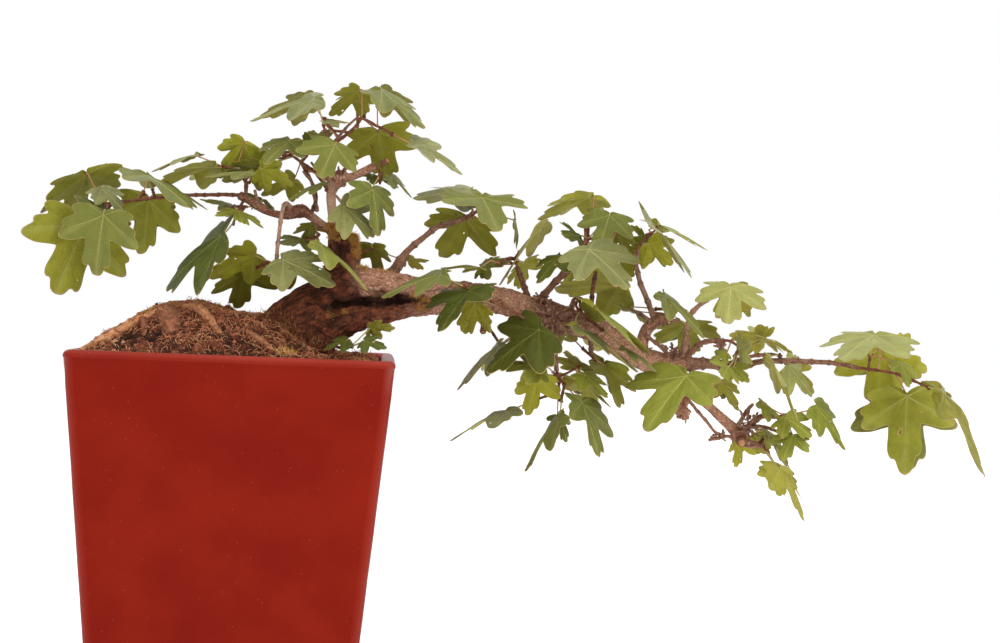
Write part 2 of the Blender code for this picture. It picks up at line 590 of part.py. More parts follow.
def trunk(bark, grow=0.0):
    """The trunk from its flat foot to the fork: the thick start of the spine, the stump and the root flares."""
    thing = make_object("trunk", *tube(spine_part(18.0, TRUNK_END, 9.0), 12, grow, cleft_share), bark)
    parts = [make_object("stump", *tube(smooth_path(STUMP, 9.0), 10, grow), bark)]
    parts += [make_object("flare", *tube(smooth_path(flare, 14.0), 8, grow), bark) for flare in FLARES]
    combine(thing, parts, "UNION")
    flat_foot(thing, grow)
    return thing


def limb_inner(bark, grow=0.0):
    """The cascade limb from the fork to its bend, with the outer half of the cleft."""
    return make_object("limb_inner", *tube(spine_part(TRUNK_END - 2, LIMB_BEND, 9.0), 12, grow, cleft_share), bark)


def limb_outer(bark, grow=0.0):
    """The cascade limb from its bend to the last fork."""
    return make_object("limb_outer", *tube(spine_part(LIMB_BEND - 2, SPINE[-1][0], 9.0), 10, grow), bark)


def bough(limb, bark, grow=0.0):
    """One bough as a tapering tube."""
    return make_object(limb.name, *tube(smooth_path(limb.knots, limb.step), limb.sides, grow), bark)


def blade_frame(leaf):
    """The blade's length and its axes: along the middle lobe, to the right lobe, and out of the upper side."""
    reach = np.array(leaf.reach, float)
    length = np.linalg.norm(reach)
    along = reach / length
    front = unit(FRONT - along * (FRONT @ along))
    roll = math.radians(leaf.roll)
    upper = math.cos(roll) * front + math.sin(roll) * np.cross(along, front)
    return length, along, np.cross(along, upper), upper


def blade(leaf, grow=0.0):
    """A lobed blade as a thin lens: a fan on each side of its outline, folded and arched along the midrib."""
    length, along, right, upper = blade_frame(leaf)
    half = [(math.radians(a), r) for a, r in LEAF_OUTLINE]
    outline = half + [(-a, r) for a, r in reversed(half[1:-1])]
    heart = np.array(leaf.heart, float)
    vertices = []
    for angle, share in outline:
        reach = share * (length + 2 * grow)
        ahead, out = reach * math.cos(angle), reach * math.sin(angle)
        lift = leaf.fold * abs(out) + BLADE_ARCH * max(ahead, 0) * (1 - ahead / length)
        vertices.append(heart + along * ahead + right * out + upper * lift)
    count, thick = len(outline), BLADE_THICK / 2 + grow
    middle = heart + (along * BLADE_MIDDLE + upper * BLADE_ARCH * BLADE_MIDDLE * (1 - BLADE_MIDDLE)) * length
    vertices += [middle + upper * thick, middle - upper * thick]
    faces = [(i, (i + 1) % count, count) for i in range(count)]
    faces += [((i + 1) % count, i, count + 1) for i in range(count)]
    return np.array(vertices), faces


def twig_route(start, leaf, bow):
    """Centres and radii of a leaf's own twig, if it stands out of a stalk's reach, and of its stalk.

    Each of the two is bowed by `bow` as a share of its length, or is straight without one. A stalk that
    comes in across the blade gets a knee behind the notch.
    """
    heart = np.array(leaf.heart, float)
    along = unit(np.array(leaf.reach, float))
    distance = np.linalg.norm(heart - start)
    route = [(*start, STALK_RADIUS)]
    if distance > STALK_REACH:
        route = [(*start, TWIG_RADIUS)]
        end = start + (heart - start) * (1 - 0.75 * STALK_REACH / distance)
        if bow is not None:
            route.append((*((start + end) / 2 + bow * 0.5 * np.linalg.norm(end - start)), TWIG_RADIUS))
        route.append((*end, 0.85 * TWIG_RADIUS))
        start = end
    if bow is not None:
        span = np.linalg.norm(heart - start)
        route.append((*((start + heart) / 2 + bow * 0.5 * span), STALK_RADIUS))
    if unit(heart - route[-1][:3]) @ along < KNEE_FROM:
        route.append((*(heart - along * KNEE), STALK_RADIUS))
    return np.array(route + [(*heart, STALK_RADIUS)])


def leaf_solid(leaf, route):
    """One closed solid of a twig, a stalk and the blade that grows out of the stalk's end."""
    length, along, right, upper = blade_frame(leaf)
    vertices, faces = tube(route, 3)
    vertices, faces = vertices[:-3], faces[:-5] + faces[-2:-1]
    heart, first = route[-1, :3], len(vertices)
    turns = [math.radians(120 * i) for i in range(3)]
    ring = [heart + STALK_RADIUS * (upper * math.cos(turn) + right * math.sin(turn)) for turn in turns]
    before = vertices[-3:]
    shift = min(range(3), key=lambda k: sum(np.linalg.norm(before[j] - ring[(j + k) % 3]) for j in range(3)))
    for j in range(3):
        k = (j + 1) % 3
        faces.append((first - 3 + j, first - 3 + k, first + (k + shift) % 3, first + (j + shift) % 3))
    lens, _ = blade(leaf)
    notch = len(LEAF_OUTLINE) - 1
    edge = [first + 3 + i for i in range(notch)]
    other = [first + 3 + i for i in range(notch, 2 * notch - 1)]
    above, below = first + 3 + 2 * notch - 1, first + 3 + 2 * notch
    upper_loop = edge + [first + 1, first, first + 2] + other
    lower_loop = edge + [first + 1, first + 2] + other
    faces += [(a, b, above) for a, b in zip(upper_loop, upper_loop[1:] + upper_loop[:1])]
    faces += [(b, a, below) for a, b in zip(lower_loop, lower_loop[1:] + lower_loop[:1])]
    return np.vstack((vertices, ring, np.delete(lens, notch, axis=0))), faces


def tree_of(vertices, faces):
    """A search tree that tells where this shape meets another."""
    return BVHTree.FromPolygons([Vector(v) for v in vertices], faces)


BOWS = (None,) + tuple(np.array(bow) for bow in (
    (0, 0, 0.2), (0, 0, -0.2), (0, -0.3, 0), (0, 0.3, 0), (0.3, 0, 0), (-0.3, 0, 0), (0, -0.6, 0.2), (0, 0.6, 0.2)))


class Growth:
    """Grows one mass: a stem, and a twig, a stalk and a blade for each leaf that keeps clear."""

    def __init__(self, mass, limbs, others):
        self.mass = mass
        self.fixed = list(limbs.values()) + others
        self.random = random.Random(mass.seed)
        self.leaves = []
        self.blades = []
        self.skipped = 0
        last = len(mass.stem) - 1
        stem = [(*place, mass.stem_radius * (1 - 0.3 * i / last)) for i, place in enumerate(mass.stem)]
        self.stem = smooth_path(stem, 9.0)
        end, before = self.stem[-1, :3], self.stem[-2, :3]
        self.nodes = [point[:3] for point in self.stem[1:-1]] + [end + unit(before - end) * STEM_RADIUS]

    def place(self, leaf):
        """The leaf, moved along the line of sight in small steps until its blade keeps clear, or None."""
        heart = np.array(leaf.heart, float)
        sight = unit(heart - VIEWPOINT)
        outwards = -1 if heart[1] < 0 else 1
        for step in range(CLEAR_TRIES):
            for way in (outwards, -outwards)[:1 if step == 0 else 2]:
                moved = replace(leaf, heart=tuple(heart + sight * way * CLEAR_STEP * step))
                tree = tree_of(*blade(moved, CLEAR_OF_BLADE))
                if not any(tree.overlap(other) for other in self.fixed + self.blades):
                    return moved
        return None

    def route(self, leaf):
        """The first route to this leaf, from the nodes nearest to it, that keeps clear, or None."""
        heart = np.array(leaf.heart, float)
        nodes = sorted(self.nodes, key=lambda node: np.linalg.norm(node - heart))[:NODE_TRIES]
        for obstacles in (self.fixed + self.blades, self.fixed):
            for node in nodes:
                for bow in BOWS:
                    points = twig_route(node, leaf, bow)
                    tree = tree_of(*tube(points, 3, GAP))
                    if not any(tree.overlap(other) for other in obstacles):
                        return points
        return None

    def add(self, leaf):
        """Grows the leaf with its twig and stalk. A leaf that can't keep clear is skipped."""
        placed = self.place(leaf)
        points = None if placed is None else self.route(placed)
        if points is None:
            self.skipped += 1
            return
        self.leaves.append((placed, points))
        self.blades.append(tree_of(*blade(placed)))
        twig = points[points[:, 3] > STALK_RADIUS, :3]
        if len(twig):
            self.nodes += [twig[-1], twig[1] if len(twig) > 2 else (twig[0] + twig[1]) / 2]

    def fellow(self, leaf):
        """The leaf that stands behind this one on the line of sight and faces the back of the tree."""
        size = self.random.uniform(0.74, 0.92)
        back = self.random.uniform(24, 58)
        heart = np.array(leaf.heart, float)
        reach = np.array(leaf.reach, float)
        moved = heart + reach * (1 - size) * 0.4 + unit(heart - VIEWPOINT) * back
        return Leaf(tuple(moved), tuple(reach * size * (1, -1, 1)), 180 - leaf.roll, leaf.fold)

    def grow(self):
        """Grows every leaf of the mass, nearest first, and then the fellows behind them."""
        start = np.array(self.mass.stem[0], float)
        leaves = sorted(self.mass.leaves, key=lambda leaf: np.linalg.norm(np.array(leaf.heart) - start))
        for leaf in leaves:
            self.add(leaf)
        for leaf in leaves:
            if self.random.random() < self.mass.fellows:
                self.add(self.fellow(leaf))

    def trees(self):
        """Search trees of everything grown, for the masses that follow."""
        return [tree_of(*tube(self.stem, STEM_SIDES))] + [tree_of(*leaf_solid(*leaf)) for leaf in self.leaves]

    def solid(self, green):
        """One closed solid of the whole mass, cut back from the wood that it grows on."""
        thing = make_object(self.mass.name, *tube(self.stem, STEM_SIDES), green)
        combine(thing, [make_object("leaf", *leaf_solid(*leaf), green) for leaf in self.leaves], "UNION")
        return thing


def mesh_data(thing):
    """The vertices in mm and the faces of an object."""
    return ([v.co / MM for v in thing.data.vertices], [tuple(p.vertices) for p in thing.data.polygons])


def main():
    """Builds the whole tree in its pot."""
    for thing in list(bpy.data.objects):
        bpy.data.objects.remove(thing)
    bark = finish_material("bark", (0.22, 0.13, 0.09), 0.85)
    green = finish_material("leaves", (0.13, 0.19, 0.04), 0.55)
    glaze = finish_material("red glaze", (0.26, 0.015, 0.008), 0.22, 0.5)
    earth = finish_material("soil", (0.13, 0.065, 0.035), 0.95)

    makers = {"trunk": trunk, "limb_inner": limb_inner, "limb_outer": limb_outer}
    for limb in LIMBS:
        makers[limb.name] = lambda material, grow=0.0, limb=limb: bough(limb, material, grow)
    limbs = {name: make(bark) for name, make in makers.items()}
    seats = {limb.name: limb.on for limb in LIMBS}
    seats.update({"limb_inner": ("trunk",), "limb_outer": ("limb_inner",)})
    for name, on in seats.items():
        combine(limbs[name], [makers[seat](bark, GAP) for seat in on], "DIFFERENCE")
        keep_main_shell(limbs[name])

    filling = soil(earth)
    combine(filling, [makers[name](bark, 2 * GAP) for name in ("trunk", "surface_root")], "DIFFERENCE")
    keep_main_shell(filling)
    vessel = pot(glaze)

    wood = {name: tree_of(*mesh_data(thing)) for name, thing in limbs.items()}
    wood["soil"] = tree_of(*mesh_data(filling))
    wood["pot"] = tree_of(*mesh_data(vessel))
    grown = []
    for mass in MASSES:
        growth = Growth(mass, wood, grown)
        growth.grow()
        grown += growth.trees()
        thing = growth.solid(green)
        combine(thing, [makers[mass.on](bark, GAP)], "DIFFERENCE")
        dropped = keep_main_shell(thing)
        print(mass.name, len(growth.leaves), "leaves,", growth.skipped, "skipped,", dropped, "scraps dropped,",
              len(thing.data.polygons), "faces")
    print("all", len(bpy.data.objects), "objects,", sum(len(thing.data.polygons) for thing in bpy.data.objects), "faces")


if __name__ == "__main__":
    main()
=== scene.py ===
"""Looks of a field maple bonsai, trained as a low cascade, in a tall square glazed pot.

Lengths in the tables are millimetres and become metres when a mesh is made. The origin is the middle of
the pot's flat underside, +Z is up, +X runs along the cascade and -Y is the front of the tree.
"""

from __future__ import annotations

import logging
import math
import random
from collections.abc import Iterable, Sequence
from dataclasses import dataclass, replace
from enum import Enum

import bpy
import numpy as np
from mathutils import Matrix, Vector
from mathutils.bvhtree import BVHTree


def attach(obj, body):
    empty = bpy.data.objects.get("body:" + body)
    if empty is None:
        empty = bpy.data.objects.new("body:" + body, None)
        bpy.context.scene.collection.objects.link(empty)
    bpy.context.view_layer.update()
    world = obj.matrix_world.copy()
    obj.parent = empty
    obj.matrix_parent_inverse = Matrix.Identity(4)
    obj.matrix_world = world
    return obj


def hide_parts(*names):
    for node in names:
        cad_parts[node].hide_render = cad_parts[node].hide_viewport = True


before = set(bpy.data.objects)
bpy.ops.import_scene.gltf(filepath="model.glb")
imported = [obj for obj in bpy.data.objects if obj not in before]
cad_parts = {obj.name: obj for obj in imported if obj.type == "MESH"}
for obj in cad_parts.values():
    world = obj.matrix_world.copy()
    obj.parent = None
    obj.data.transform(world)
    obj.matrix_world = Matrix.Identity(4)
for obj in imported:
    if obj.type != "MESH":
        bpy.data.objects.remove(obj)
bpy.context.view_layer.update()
LOG = logging.getLogger("bonsai")

Array = np.ndarray
Route = Sequence[tuple[float, ...]]
Colour = tuple[float, float, float]

MM = 0.001
GAP = 0.3
FRONT = np.array((0.0, -1.0, 0.0))
VIEWPOINT = np.array((90.0, -1165.0, 293.0))
LATTICE_PRIMES = np.array((73856093, 19349663, 83492791))
SEED_PRIME, HASH_FACTOR, HASH_MASK, HASH_HALF = 7919, 1274126177, 0xFFFFFF, 0x7FFFFF
NEARLY_ALONG = 0.95  # cosine from which a path runs too much along its wished side axis
POLE_RISE = 0.4  # how far a tube's pole stands out of its last ring, in radii
TINY = 1e-6
ROOT_BODY = "root"


def lattice_noise(places: Array, size: float, seed: int = 0) -> Array:
    """Smooth noise between -1 and 1 at each place.

    Every corner of a cubic lattice has a random value, and a place blends its eight corners with
    t * t * (3 - 2 * t) along each axis, t being its share of the way across the cell.

    Args:
        places: Points in mm, as (n, 3).
        size: Edge of a lattice cell in mm.
        seed: Which noise of its kind.

    Returns:
        One value for each place.
    """
    cell = places / size
    base = np.floor(cell).astype(np.int64)
    share = cell - base
    share = share * share * (3 - 2 * share)
    total = np.zeros(len(places))
    for corner in np.ndindex(2, 2, 2):
        key = (base + np.array(corner)) @ LATTICE_PRIMES + seed * SEED_PRIME
        key = (key ^ (key >> 13)) * HASH_FACTOR
        key = (key ^ (key >> 16)) & HASH_MASK
        weight = np.prod(np.where(np.array(corner) == 1, share, 1 - share), axis=1)
        total += weight * (key / HASH_HALF - 1)
    return total


def rough_noise(places: Array, size: float, octaves: int, seed: int = 0) -> Array:
    """Sum over i of lattice_noise(size / 2^i) / 2^i, for `octaves` sizes."""
    return sum(lattice_noise(places, size / 2**i, seed + i) / 2**i for i in range(octaves))


def unit(vectors: Array) -> Array:
    """The vectors along the last axis, each at length one."""
    return vectors / np.maximum(np.linalg.norm(vectors, axis=-1, keepdims=True), 1e-9)


def smooth_path(knots: Route | Array, step: float) -> Array:
    """Points about `step` apart on a curve through the knots.

    Between knots b and c, with a before and d after them, the point at t is the Catmull-Rom cubic
    (2b + (c - a)t + (2a - 5b + 4c - d)t^2 + (3b - a - 3c + d)t^3) / 2.

    Args:
        knots: Rows of (x, y, z) or (x, y, z, radius).
        step: Wished distance in mm between neighbours.

    Returns:
        Rows like the knots.
    """
    knots = np.asarray(knots, float)
    ends = np.vstack((2 * knots[0] - knots[1], knots, 2 * knots[-1] - knots[-2]))
    points = []
    for i in range(1, len(ends) - 2):
        a, b, c, d = ends[i - 1 : i + 3]
        count = max(1, round(float(np.linalg.norm((c - b)[:3])) / step))
        t = (np.arange(count) / count)[:, None]
        cubic = 2 * b + (c - a) * t + (2 * a - 5 * b + 4 * c - d) * t**2 + (3 * b - a - 3 * c + d) * t**3
        points.append(cubic / 2)
    return np.vstack((*points, knots[-1:]))


def carried_axes(paths: Array, start: Array | None = None) -> tuple[Array, Array, Array]:
    """Axes at every point of many paths: along, side and up.

    The side axis is carried along its path and made square to it at every step,
    side - along * (side . along), and up is along x side.

    Args:
        paths: As (paths, points, 3).
        start: The wished first side axis of each path, as (paths, 3).

    Returns:
        The three axes, each as (paths, points, 3).
    """
    count, rings = paths.shape[:2]
    along = unit(np.gradient(paths, axis=1))
    side = np.broadcast_to(FRONT, (count, 3)) if start is None else start
    across = np.abs(np.sum(side * along[:, 0], axis=1)) > NEARLY_ALONG
    side = np.where(across[:, None], np.array((1.0, 0.0, 0.0)), side)
    sides = np.empty_like(along)
    for i in range(rings):
        side = unit(side - along[:, i] * np.sum(side * along[:, i], axis=1)[:, None])
        sides[:, i] = side
    return along, sides, np.cross(along, sides)


def tubes(paths: Array, radii: Array, sides: int, start: Array | None = None) -> tuple[Array, Array]:
    """Closed tubes round many paths at once.

    A point is centre + radius * (cos(a) * side + sin(a) * up), and a pole closes each end.

    Args:
        paths: Centres in mm, as (tubes, rings, 3).
        radii: As (tubes, rings), or as (tubes, rings, sides).
        sides: How many points a ring has.
        start: The wished first side axis of each tube, as (tubes, 3).

    Returns:
        Points, and faces with -1 in the last column of a triangle.
    """
    count, rings = paths.shape[:2]
    along, side, up = carried_axes(paths, start)
    angles = np.arange(sides) / sides * math.tau
    radii = radii[..., None] if radii.ndim == 2 else radii
    around = side[:, :, None] * np.cos(angles)[:, None] + up[:, :, None] * np.sin(angles)[:, None]
    ring = paths[:, :, None] + around * np.broadcast_to(radii, (count, rings, sides))[..., None]
    width = radii.mean(axis=2)[..., None] * POLE_RISE
    first = paths[:, 0] - along[:, 0] * width[:, 0]
    last = paths[:, -1] + along[:, -1] * width[:, -1]
    points = np.concatenate((ring.reshape(count, -1, 3), np.stack((first, last), 1)), axis=1)
    i, j = (grid.ravel() for grid in np.mgrid[0 : rings - 1, 0:sides])
    low, low_next = i * sides + j, i * sides + (j + 1) % sides
    quads = np.stack((low, low_next, low_next + sides, low + sides), 1)
    j = np.arange(sides)
    after, top, none = (j + 1) % sides, (rings - 1) * sides, np.full(sides, -1)
    first_cap = np.stack((np.full(sides, rings * sides), after, j, none), 1)
    last_cap = np.stack((np.full(sides, rings * sides + 1), top + j, top + after, none), 1)
    faces = np.concatenate((quads, first_cap, last_cap))
    shift = np.arange(count)[:, None, None] * points.shape[1]
    faces = np.where(faces[None] < 0, -1, faces[None] + shift)
    return points.reshape(-1, 3), faces.reshape(-1, 4)


def band_between(first: Array, second: Array) -> Array:
    """Faces between two closed rings of point numbers that run the same way."""
    return np.stack((first, np.roll(first, -1), np.roll(second, -1), second), 1)


class Pile:
    """Points and faces of many shapes, kept as arrays and joined into one mesh."""

    def __init__(self) -> None:
        """Starts empty."""
        self.points: list[Array] = []
        self.faces: list[Array] = []
        self.finishes: list[Array] = []
        self.marks: list[Array] = []
        self.grains: list[Array] = []
        self.count = 0

    def add(
        self,
        points: Array,
        faces: Array,
        finish: int | Array = 0,
        marks: Array | None = None,
        grain: Array | None = None,
    ) -> None:
        """Adds one shape.

        Args:
            points: As (n, 3), in mm.
            faces: As (m, 4), with -1 in the last column of a triangle.
            finish: The material's number, for all faces or for each.
            marks: Three values for each point, for the shaders, or zeros.
            grain: Each point's place in mm along and round the wood, or its plain place.
        """
        self.points.append(points)
        self.faces.append(np.where(faces < 0, -1, faces + self.count))
        self.finishes.append(np.broadcast_to(finish, len(faces)))
        self.marks.append(np.zeros((len(points), 3)) if marks is None else marks)
        self.grains.append(points if grain is None else grain)
        self.count += len(points)

    def mesh(self, name: str, materials: Sequence[bpy.types.Material] = ()) -> bpy.types.Mesh:
        """The joined mesh, in metres, with the marks and the grain as attributes."""
        points, faces = np.concatenate(self.points) * MM, np.concatenate(self.faces)
        used = faces >= 0
        starts = np.concatenate(([0], np.cumsum(used.sum(axis=1))[:-1]))
        mesh = bpy.data.meshes.new(name)
        mesh.vertices.add(len(points))
        mesh.vertices.foreach_set("co", points.ravel())
        mesh.loops.add(int(used.sum()))
        mesh.loops.foreach_set("vertex_index", faces[used].astype(np.int32))
        mesh.polygons.add(len(faces))
        mesh.polygons.foreach_set("loop_start", starts.astype(np.int32))
        for material in materials:
            mesh.materials.append(material)
        mesh.polygons.foreach_set("material_index", np.concatenate(self.finishes).astype(np.int32))
        mesh.polygons.foreach_set("use_smooth", np.ones(len(faces), bool))
        mesh.update(calc_edges=True)
        for attribute, values in (("marks", self.marks), ("grain", self.grains)):
            scale = MM if attribute == "grain" else 1.0
            made = mesh.attributes.new(attribute, "FLOAT_VECTOR", "POINT")
            made.data.foreach_set("vector", (np.concatenate(values) * scale).ravel())
        return mesh

    def build(
        self,
        name: str,
        materials: Sequence[bpy.types.Material],
        nodes: Iterable[str] = (),
        slot: str = "bark",
    ) -> bpy.types.Object:
        """Makes the joined mesh a piece that may stand for CAD nodes, and reports it.

        Args:
            name: The piece's name.
            materials: In the order of the finish numbers.
            nodes: CAD nodes that the piece stands for.
            slot: Not used.

        Returns:
            The piece.
        """
        return finish_piece(name, self.mesh(name, materials), nodes)


def finish_piece(name: str, mesh: bpy.types.Mesh, nodes: Iterable[str]) -> bpy.types.Object:
    """Links a mesh as a piece that rides on the root body, and reports it.

    Args:
        name: The piece's name.
        mesh: Its mesh, with its place in it.
        nodes: CAD nodes that it stands for.

    Returns:
        The piece.
    """
    piece = bpy.data.objects.new(name, mesh)
    bpy.context.scene.collection.objects.link(piece)
    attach(piece, ROOT_BODY)
    if nodes:
        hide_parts(*nodes)
    mesh.calc_loop_triangles()
    LOG.info("%s: %d triangles", name, len(mesh.loop_triangles))
    return piece


class Shader:
    """One Principled material, built from procedural nodes on Object coordinates."""

    FIRST_COLOUR, SECOND_COLOUR, MIXED_COLOUR = 6, 7, 2

    def __init__(self, name: str, roughness: float, **constants: float) -> None:
        """Makes the material, with its constant values on the shader's own sockets.

        Args:
            name: The material's name.
            roughness: Where no pattern drives it.
            constants: Other sockets by name, with _ for a space, such as Coat_Weight.
        """
        self.material = bpy.data.materials.new(name)
        self.material.use_nodes = True
        self.tree = self.material.node_tree
        self.principled = self.tree.nodes["Principled BSDF"]
        self.principled.inputs["Roughness"].default_value = roughness
        for socket, value in constants.items():
            self.principled.inputs[socket.replace("_", " ")].default_value = value
        self.place = self.node("ShaderNodeTexCoord").outputs["Object"]

    def follow_grain(self) -> None:
        """Lays every later pattern along the grain of the wood instead of plain Object coordinates."""
        self.place = self.node("ShaderNodeAttribute", attribute_name="grain").outputs["Vector"]

    def node(self, kind: str, **settings: object) -> bpy.types.Node:
        """A new node of this kind with these settings."""
        made = self.tree.nodes.new(kind)
        for name, value in settings.items():
            setattr(made, name, value)
        return made

    def link(self, output: bpy.types.NodeSocket, node: bpy.types.Node, socket: str | int) -> None:
        """Links an output to a node's input."""
        self.tree.links.new(output, node.inputs[socket])

    def stretched(self, stretch: Sequence[float]) -> bpy.types.NodeSocket:
        """Object coordinates with a pattern `stretch` times longer along each axis."""
        mapping = self.node("ShaderNodeMapping")
        mapping.inputs["Scale"].default_value = tuple(1 / value for value in stretch)
        self.link(self.place, mapping, "Vector")
        return mapping.outputs["Vector"]

    def noise(
        self, size: float, detail: float = 3.0, stretch: Sequence[float] | None = None
    ) -> bpy.types.NodeSocket:
        """Noise between 0 and 1 with features of about `size` mm.

        Args:
            size: In mm.
            detail: How many finer sizes are added.
            stretch: How many times longer it is along each axis.

        Returns:
            The factor.
        """
        made = self.node("ShaderNodeTexNoise")
        made.inputs["Scale"].default_value = 1 / (size * MM)
        made.inputs["Detail"].default_value = detail
        self.link(self.place if stretch is None else self.stretched(stretch), made, "Vector")
        return made.outputs["Fac"]

    def cells(self, size: float, feature: str = "F1") -> bpy.types.NodeSocket:
        """Distance in a Voronoi pattern with cells of about `size` mm."""
        made = self.node("ShaderNodeTexVoronoi", feature=feature)
        made.inputs["Scale"].default_value = 1 / (size * MM)
        self.link(self.place, made, "Vector")
        return made.outputs["Distance"]

    def mark(self, axis: str) -> bpy.types.NodeSocket:
        """One of the three values of the piece's own marks."""
        read = self.node("ShaderNodeAttribute", attribute_name="marks")
        parts = self.node("ShaderNodeSeparateXYZ")
        self.link(read.outputs["Vector"], parts, 0)
        return parts.outputs[axis]

    def spread(
        self, value: bpy.types.NodeSocket, low: float, high: float, to_low: float = 0.0, to_high: float = 1.0
    ) -> bpy.types.NodeSocket:
        """The value carried from low..high to another range, and held there.

        Args:
            value: What is carried.
            low: Where the range starts.
            high: Where it ends.
            to_low: What low becomes.
            to_high: What high becomes.

        Returns:
            The new value.
        """
        made = self.node("ShaderNodeMapRange")
        self.link(value, made, "Value")
        for socket, number in zip(("From Min", "From Max", "To Min", "To Max"), (low, high, to_low, to_high)):
            made.inputs[socket].default_value = number
        return made.outputs["Result"]

    def mix(self, factor: bpy.types.NodeSocket, first: object, second: object) -> bpy.types.NodeSocket:
        """First where the factor is 0 and second where it is 1. Each is a colour or an output."""
        made = self.node("ShaderNodeMix", data_type="RGBA")
        self.link(factor, made, "Factor")
        for socket, value in ((self.FIRST_COLOUR, first), (self.SECOND_COLOUR, second)):
            if isinstance(value, bpy.types.NodeSocket):
                self.link(value, made, socket)
            else:
                made.inputs[socket].default_value = (*value, 1.0)
        return made.outputs[self.MIXED_COLOUR]

    def colour(self, value: bpy.types.NodeSocket) -> None:
        """Drives the base colour."""
        self.link(value, self.principled, "Base Color")

    def gloss(self, value: bpy.types.NodeSocket) -> None:
        """Drives the roughness."""
        self.link(value, self.principled, "Roughness")

    def relief(self, heights: Sequence[tuple[bpy.types.NodeSocket, float]]) -> None:
        """Bumps the surface with patterns, each with its height in mm, one on the other."""
        normal = None
        for height, depth in heights:
            bump = self.node("ShaderNodeBump")
            bump.inputs["Strength"].default_value = 1.0
            bump.inputs["Distance"].default_value = depth * MM
            self.link(height, bump, "Height")
            if normal is not None:
                self.link(normal, bump, "Normal")
            normal = bump.outputs["Normal"]
        self.link(normal, self.principled, "Normal")


def scaled(colour: Colour, share: float) -> Colour:
    """The colour, darker below 1 and lighter above."""
    return tuple(value * share for value in colour)


@dataclass(frozen=True)
class GlazeFinish:
    """Deep red glaze, thin and paler on the lip and the edges, with faint clouds, pits and pale specks,
    and a painted highlight by the lip on the right-hand corners.
    """

    deep: Colour = (0.182, 0.0056, 0.0013)
    fresh: Colour = (0.226, 0.0098, 0.0022)
    worn: Colour = (0.37, 0.052, 0.034)
    # colour of the painted highlight by the lip on the right-hand corners
    glint: Colour = (0.55, 0.26, 0.21)
    blotch: Colour = (0.19, 0.012, 0.006)
    pinprick: Colour = (0.45, 0.20, 0.14)
    cloud: float = 40.0
    speck: float = 5.5

    def make(self) -> bpy.types.Material:
        """The material. The marks' X is how thin the glaze is, and Y the painted highlight."""
        shader = Shader("red_glaze", 0.36, Specular_IOR_Level=0.06)
        body = shader.mix(shader.spread(shader.noise(self.cloud, 4.0), 0.32, 0.7), self.deep, self.fresh)
        body = shader.mix(shader.spread(shader.noise(3.0, 2.0), 0.62, 0.8, 0.0, 0.35), body, self.blotch)
        worn = shader.mix(shader.spread(shader.mark("X"), 0.0, 1.0), body, self.worn)
        worn = shader.mix(shader.spread(shader.mark("Y"), 0.0, 1.0), worn, self.glint)
        specks = shader.spread(shader.cells(self.speck), 0.035, 0.06, 0.4, 0.0)
        shader.colour(shader.mix(specks, worn, self.pinprick))
        shader.gloss(shader.spread(shader.noise(18.0, 4.0), 0.3, 0.75, 0.24, 0.46))
        shader.relief(((shader.noise(30.0, 2.0), 0.5), (shader.noise(2.2, 3.0), 0.06), (specks, 0.08)))
        return shader.material


@dataclass(frozen=True)
class BarkFinish:
    """Bark in two kinds that blend: dark red-brown fibre at the base, and grey-pink wrinkled limb bark."""

    name: str
    fibre_dark: Colour = (0.042, 0.0125, 0.006)
    fibre: Colour = (0.26, 0.068, 0.03)
    fibre_light: Colour = (0.38, 0.15, 0.075)
    limb_dark: Colour = (0.17, 0.066, 0.034)
    limb: Colour = (0.48, 0.235, 0.145)
    limb_light: Colour = (0.84, 0.58, 0.44)
    # near-black painted shade for hollows and the cleft
    crevice_shade: Colour = (0.024, 0.008, 0.005)
    moss: Colour = (0.36, 0.14, 0.028)
    width: float = 1.1

    def make(self) -> bpy.types.Material:
        """The material. The marks' X is painted shade in hollows and the cleft, Y how far towards limb bark
        (above 1 a painted highlight), and Z how mossy.
        """
        shader = Shader(self.name, 0.85, Specular_IOR_Level=0.25)
        shader.follow_grain()
        strand = shader.spread(shader.noise(self.width * 2.2, 6.0, (1.8, 1.0, 1.0)), 0.36, 0.68)
        patch = shader.spread(shader.noise(self.width * 7, 4.0), 0.36, 0.64)
        fine = shader.spread(shader.noise(self.width * 0.9, 4.0, (1.3, 1.0, 1.0)), 0.38, 0.60)
        fleck = shader.spread(shader.noise(self.width * 1.3, 5.0, (1.3, 1.0, 1.0)), 0.54, 0.62)
        stain = shader.spread(shader.noise(self.width * 4.2, 5.0, (2.0, 1.0, 1.0)), 0.36, 0.46, 0.7, 0.0)
        base = shader.mix(strand, self.fibre_dark, self.fibre)
        base = shader.mix(shader.spread(fleck, 0.1, 1.0, 0.0, 0.28), base, self.fibre_light)
        base = shader.mix(shader.spread(patch, 0.0, 0.5, 0.6, 0.0), base, self.fibre_dark)
        limb = shader.mix(fine, scaled(self.limb, 0.6), self.limb)
        limb = shader.mix(stain, limb, self.limb_dark)
        limb = shader.mix(shader.spread(fleck, 0.0, 1.0, 0.0, 0.42), limb, self.limb_light)
        # Painted highlight: limb marks above 1 turn the bark towards its lightest colour
        limb = shader.mix(shader.spread(shader.mark("Y"), 1.0, 2.0, 0.0, 0.9), limb, self.limb_light)
        both = shader.mix(shader.spread(shader.mark("Y"), 0.0, 1.0), base, limb)
        # Painted shade: mark X darkens hollows and the cleft to near black
        both = shader.mix(shader.spread(shader.mark("X"), 0.1, 1.0), both, self.crevice_shade)
        shader.colour(shader.mix(shader.spread(shader.mark("Z"), 0.1, 1.0, 0.0, 0.85), both, self.moss))
        shader.relief(((strand, 0.4), (fine, 0.22), (shader.noise(0.6, 2.0), 0.12)))
        return shader.material


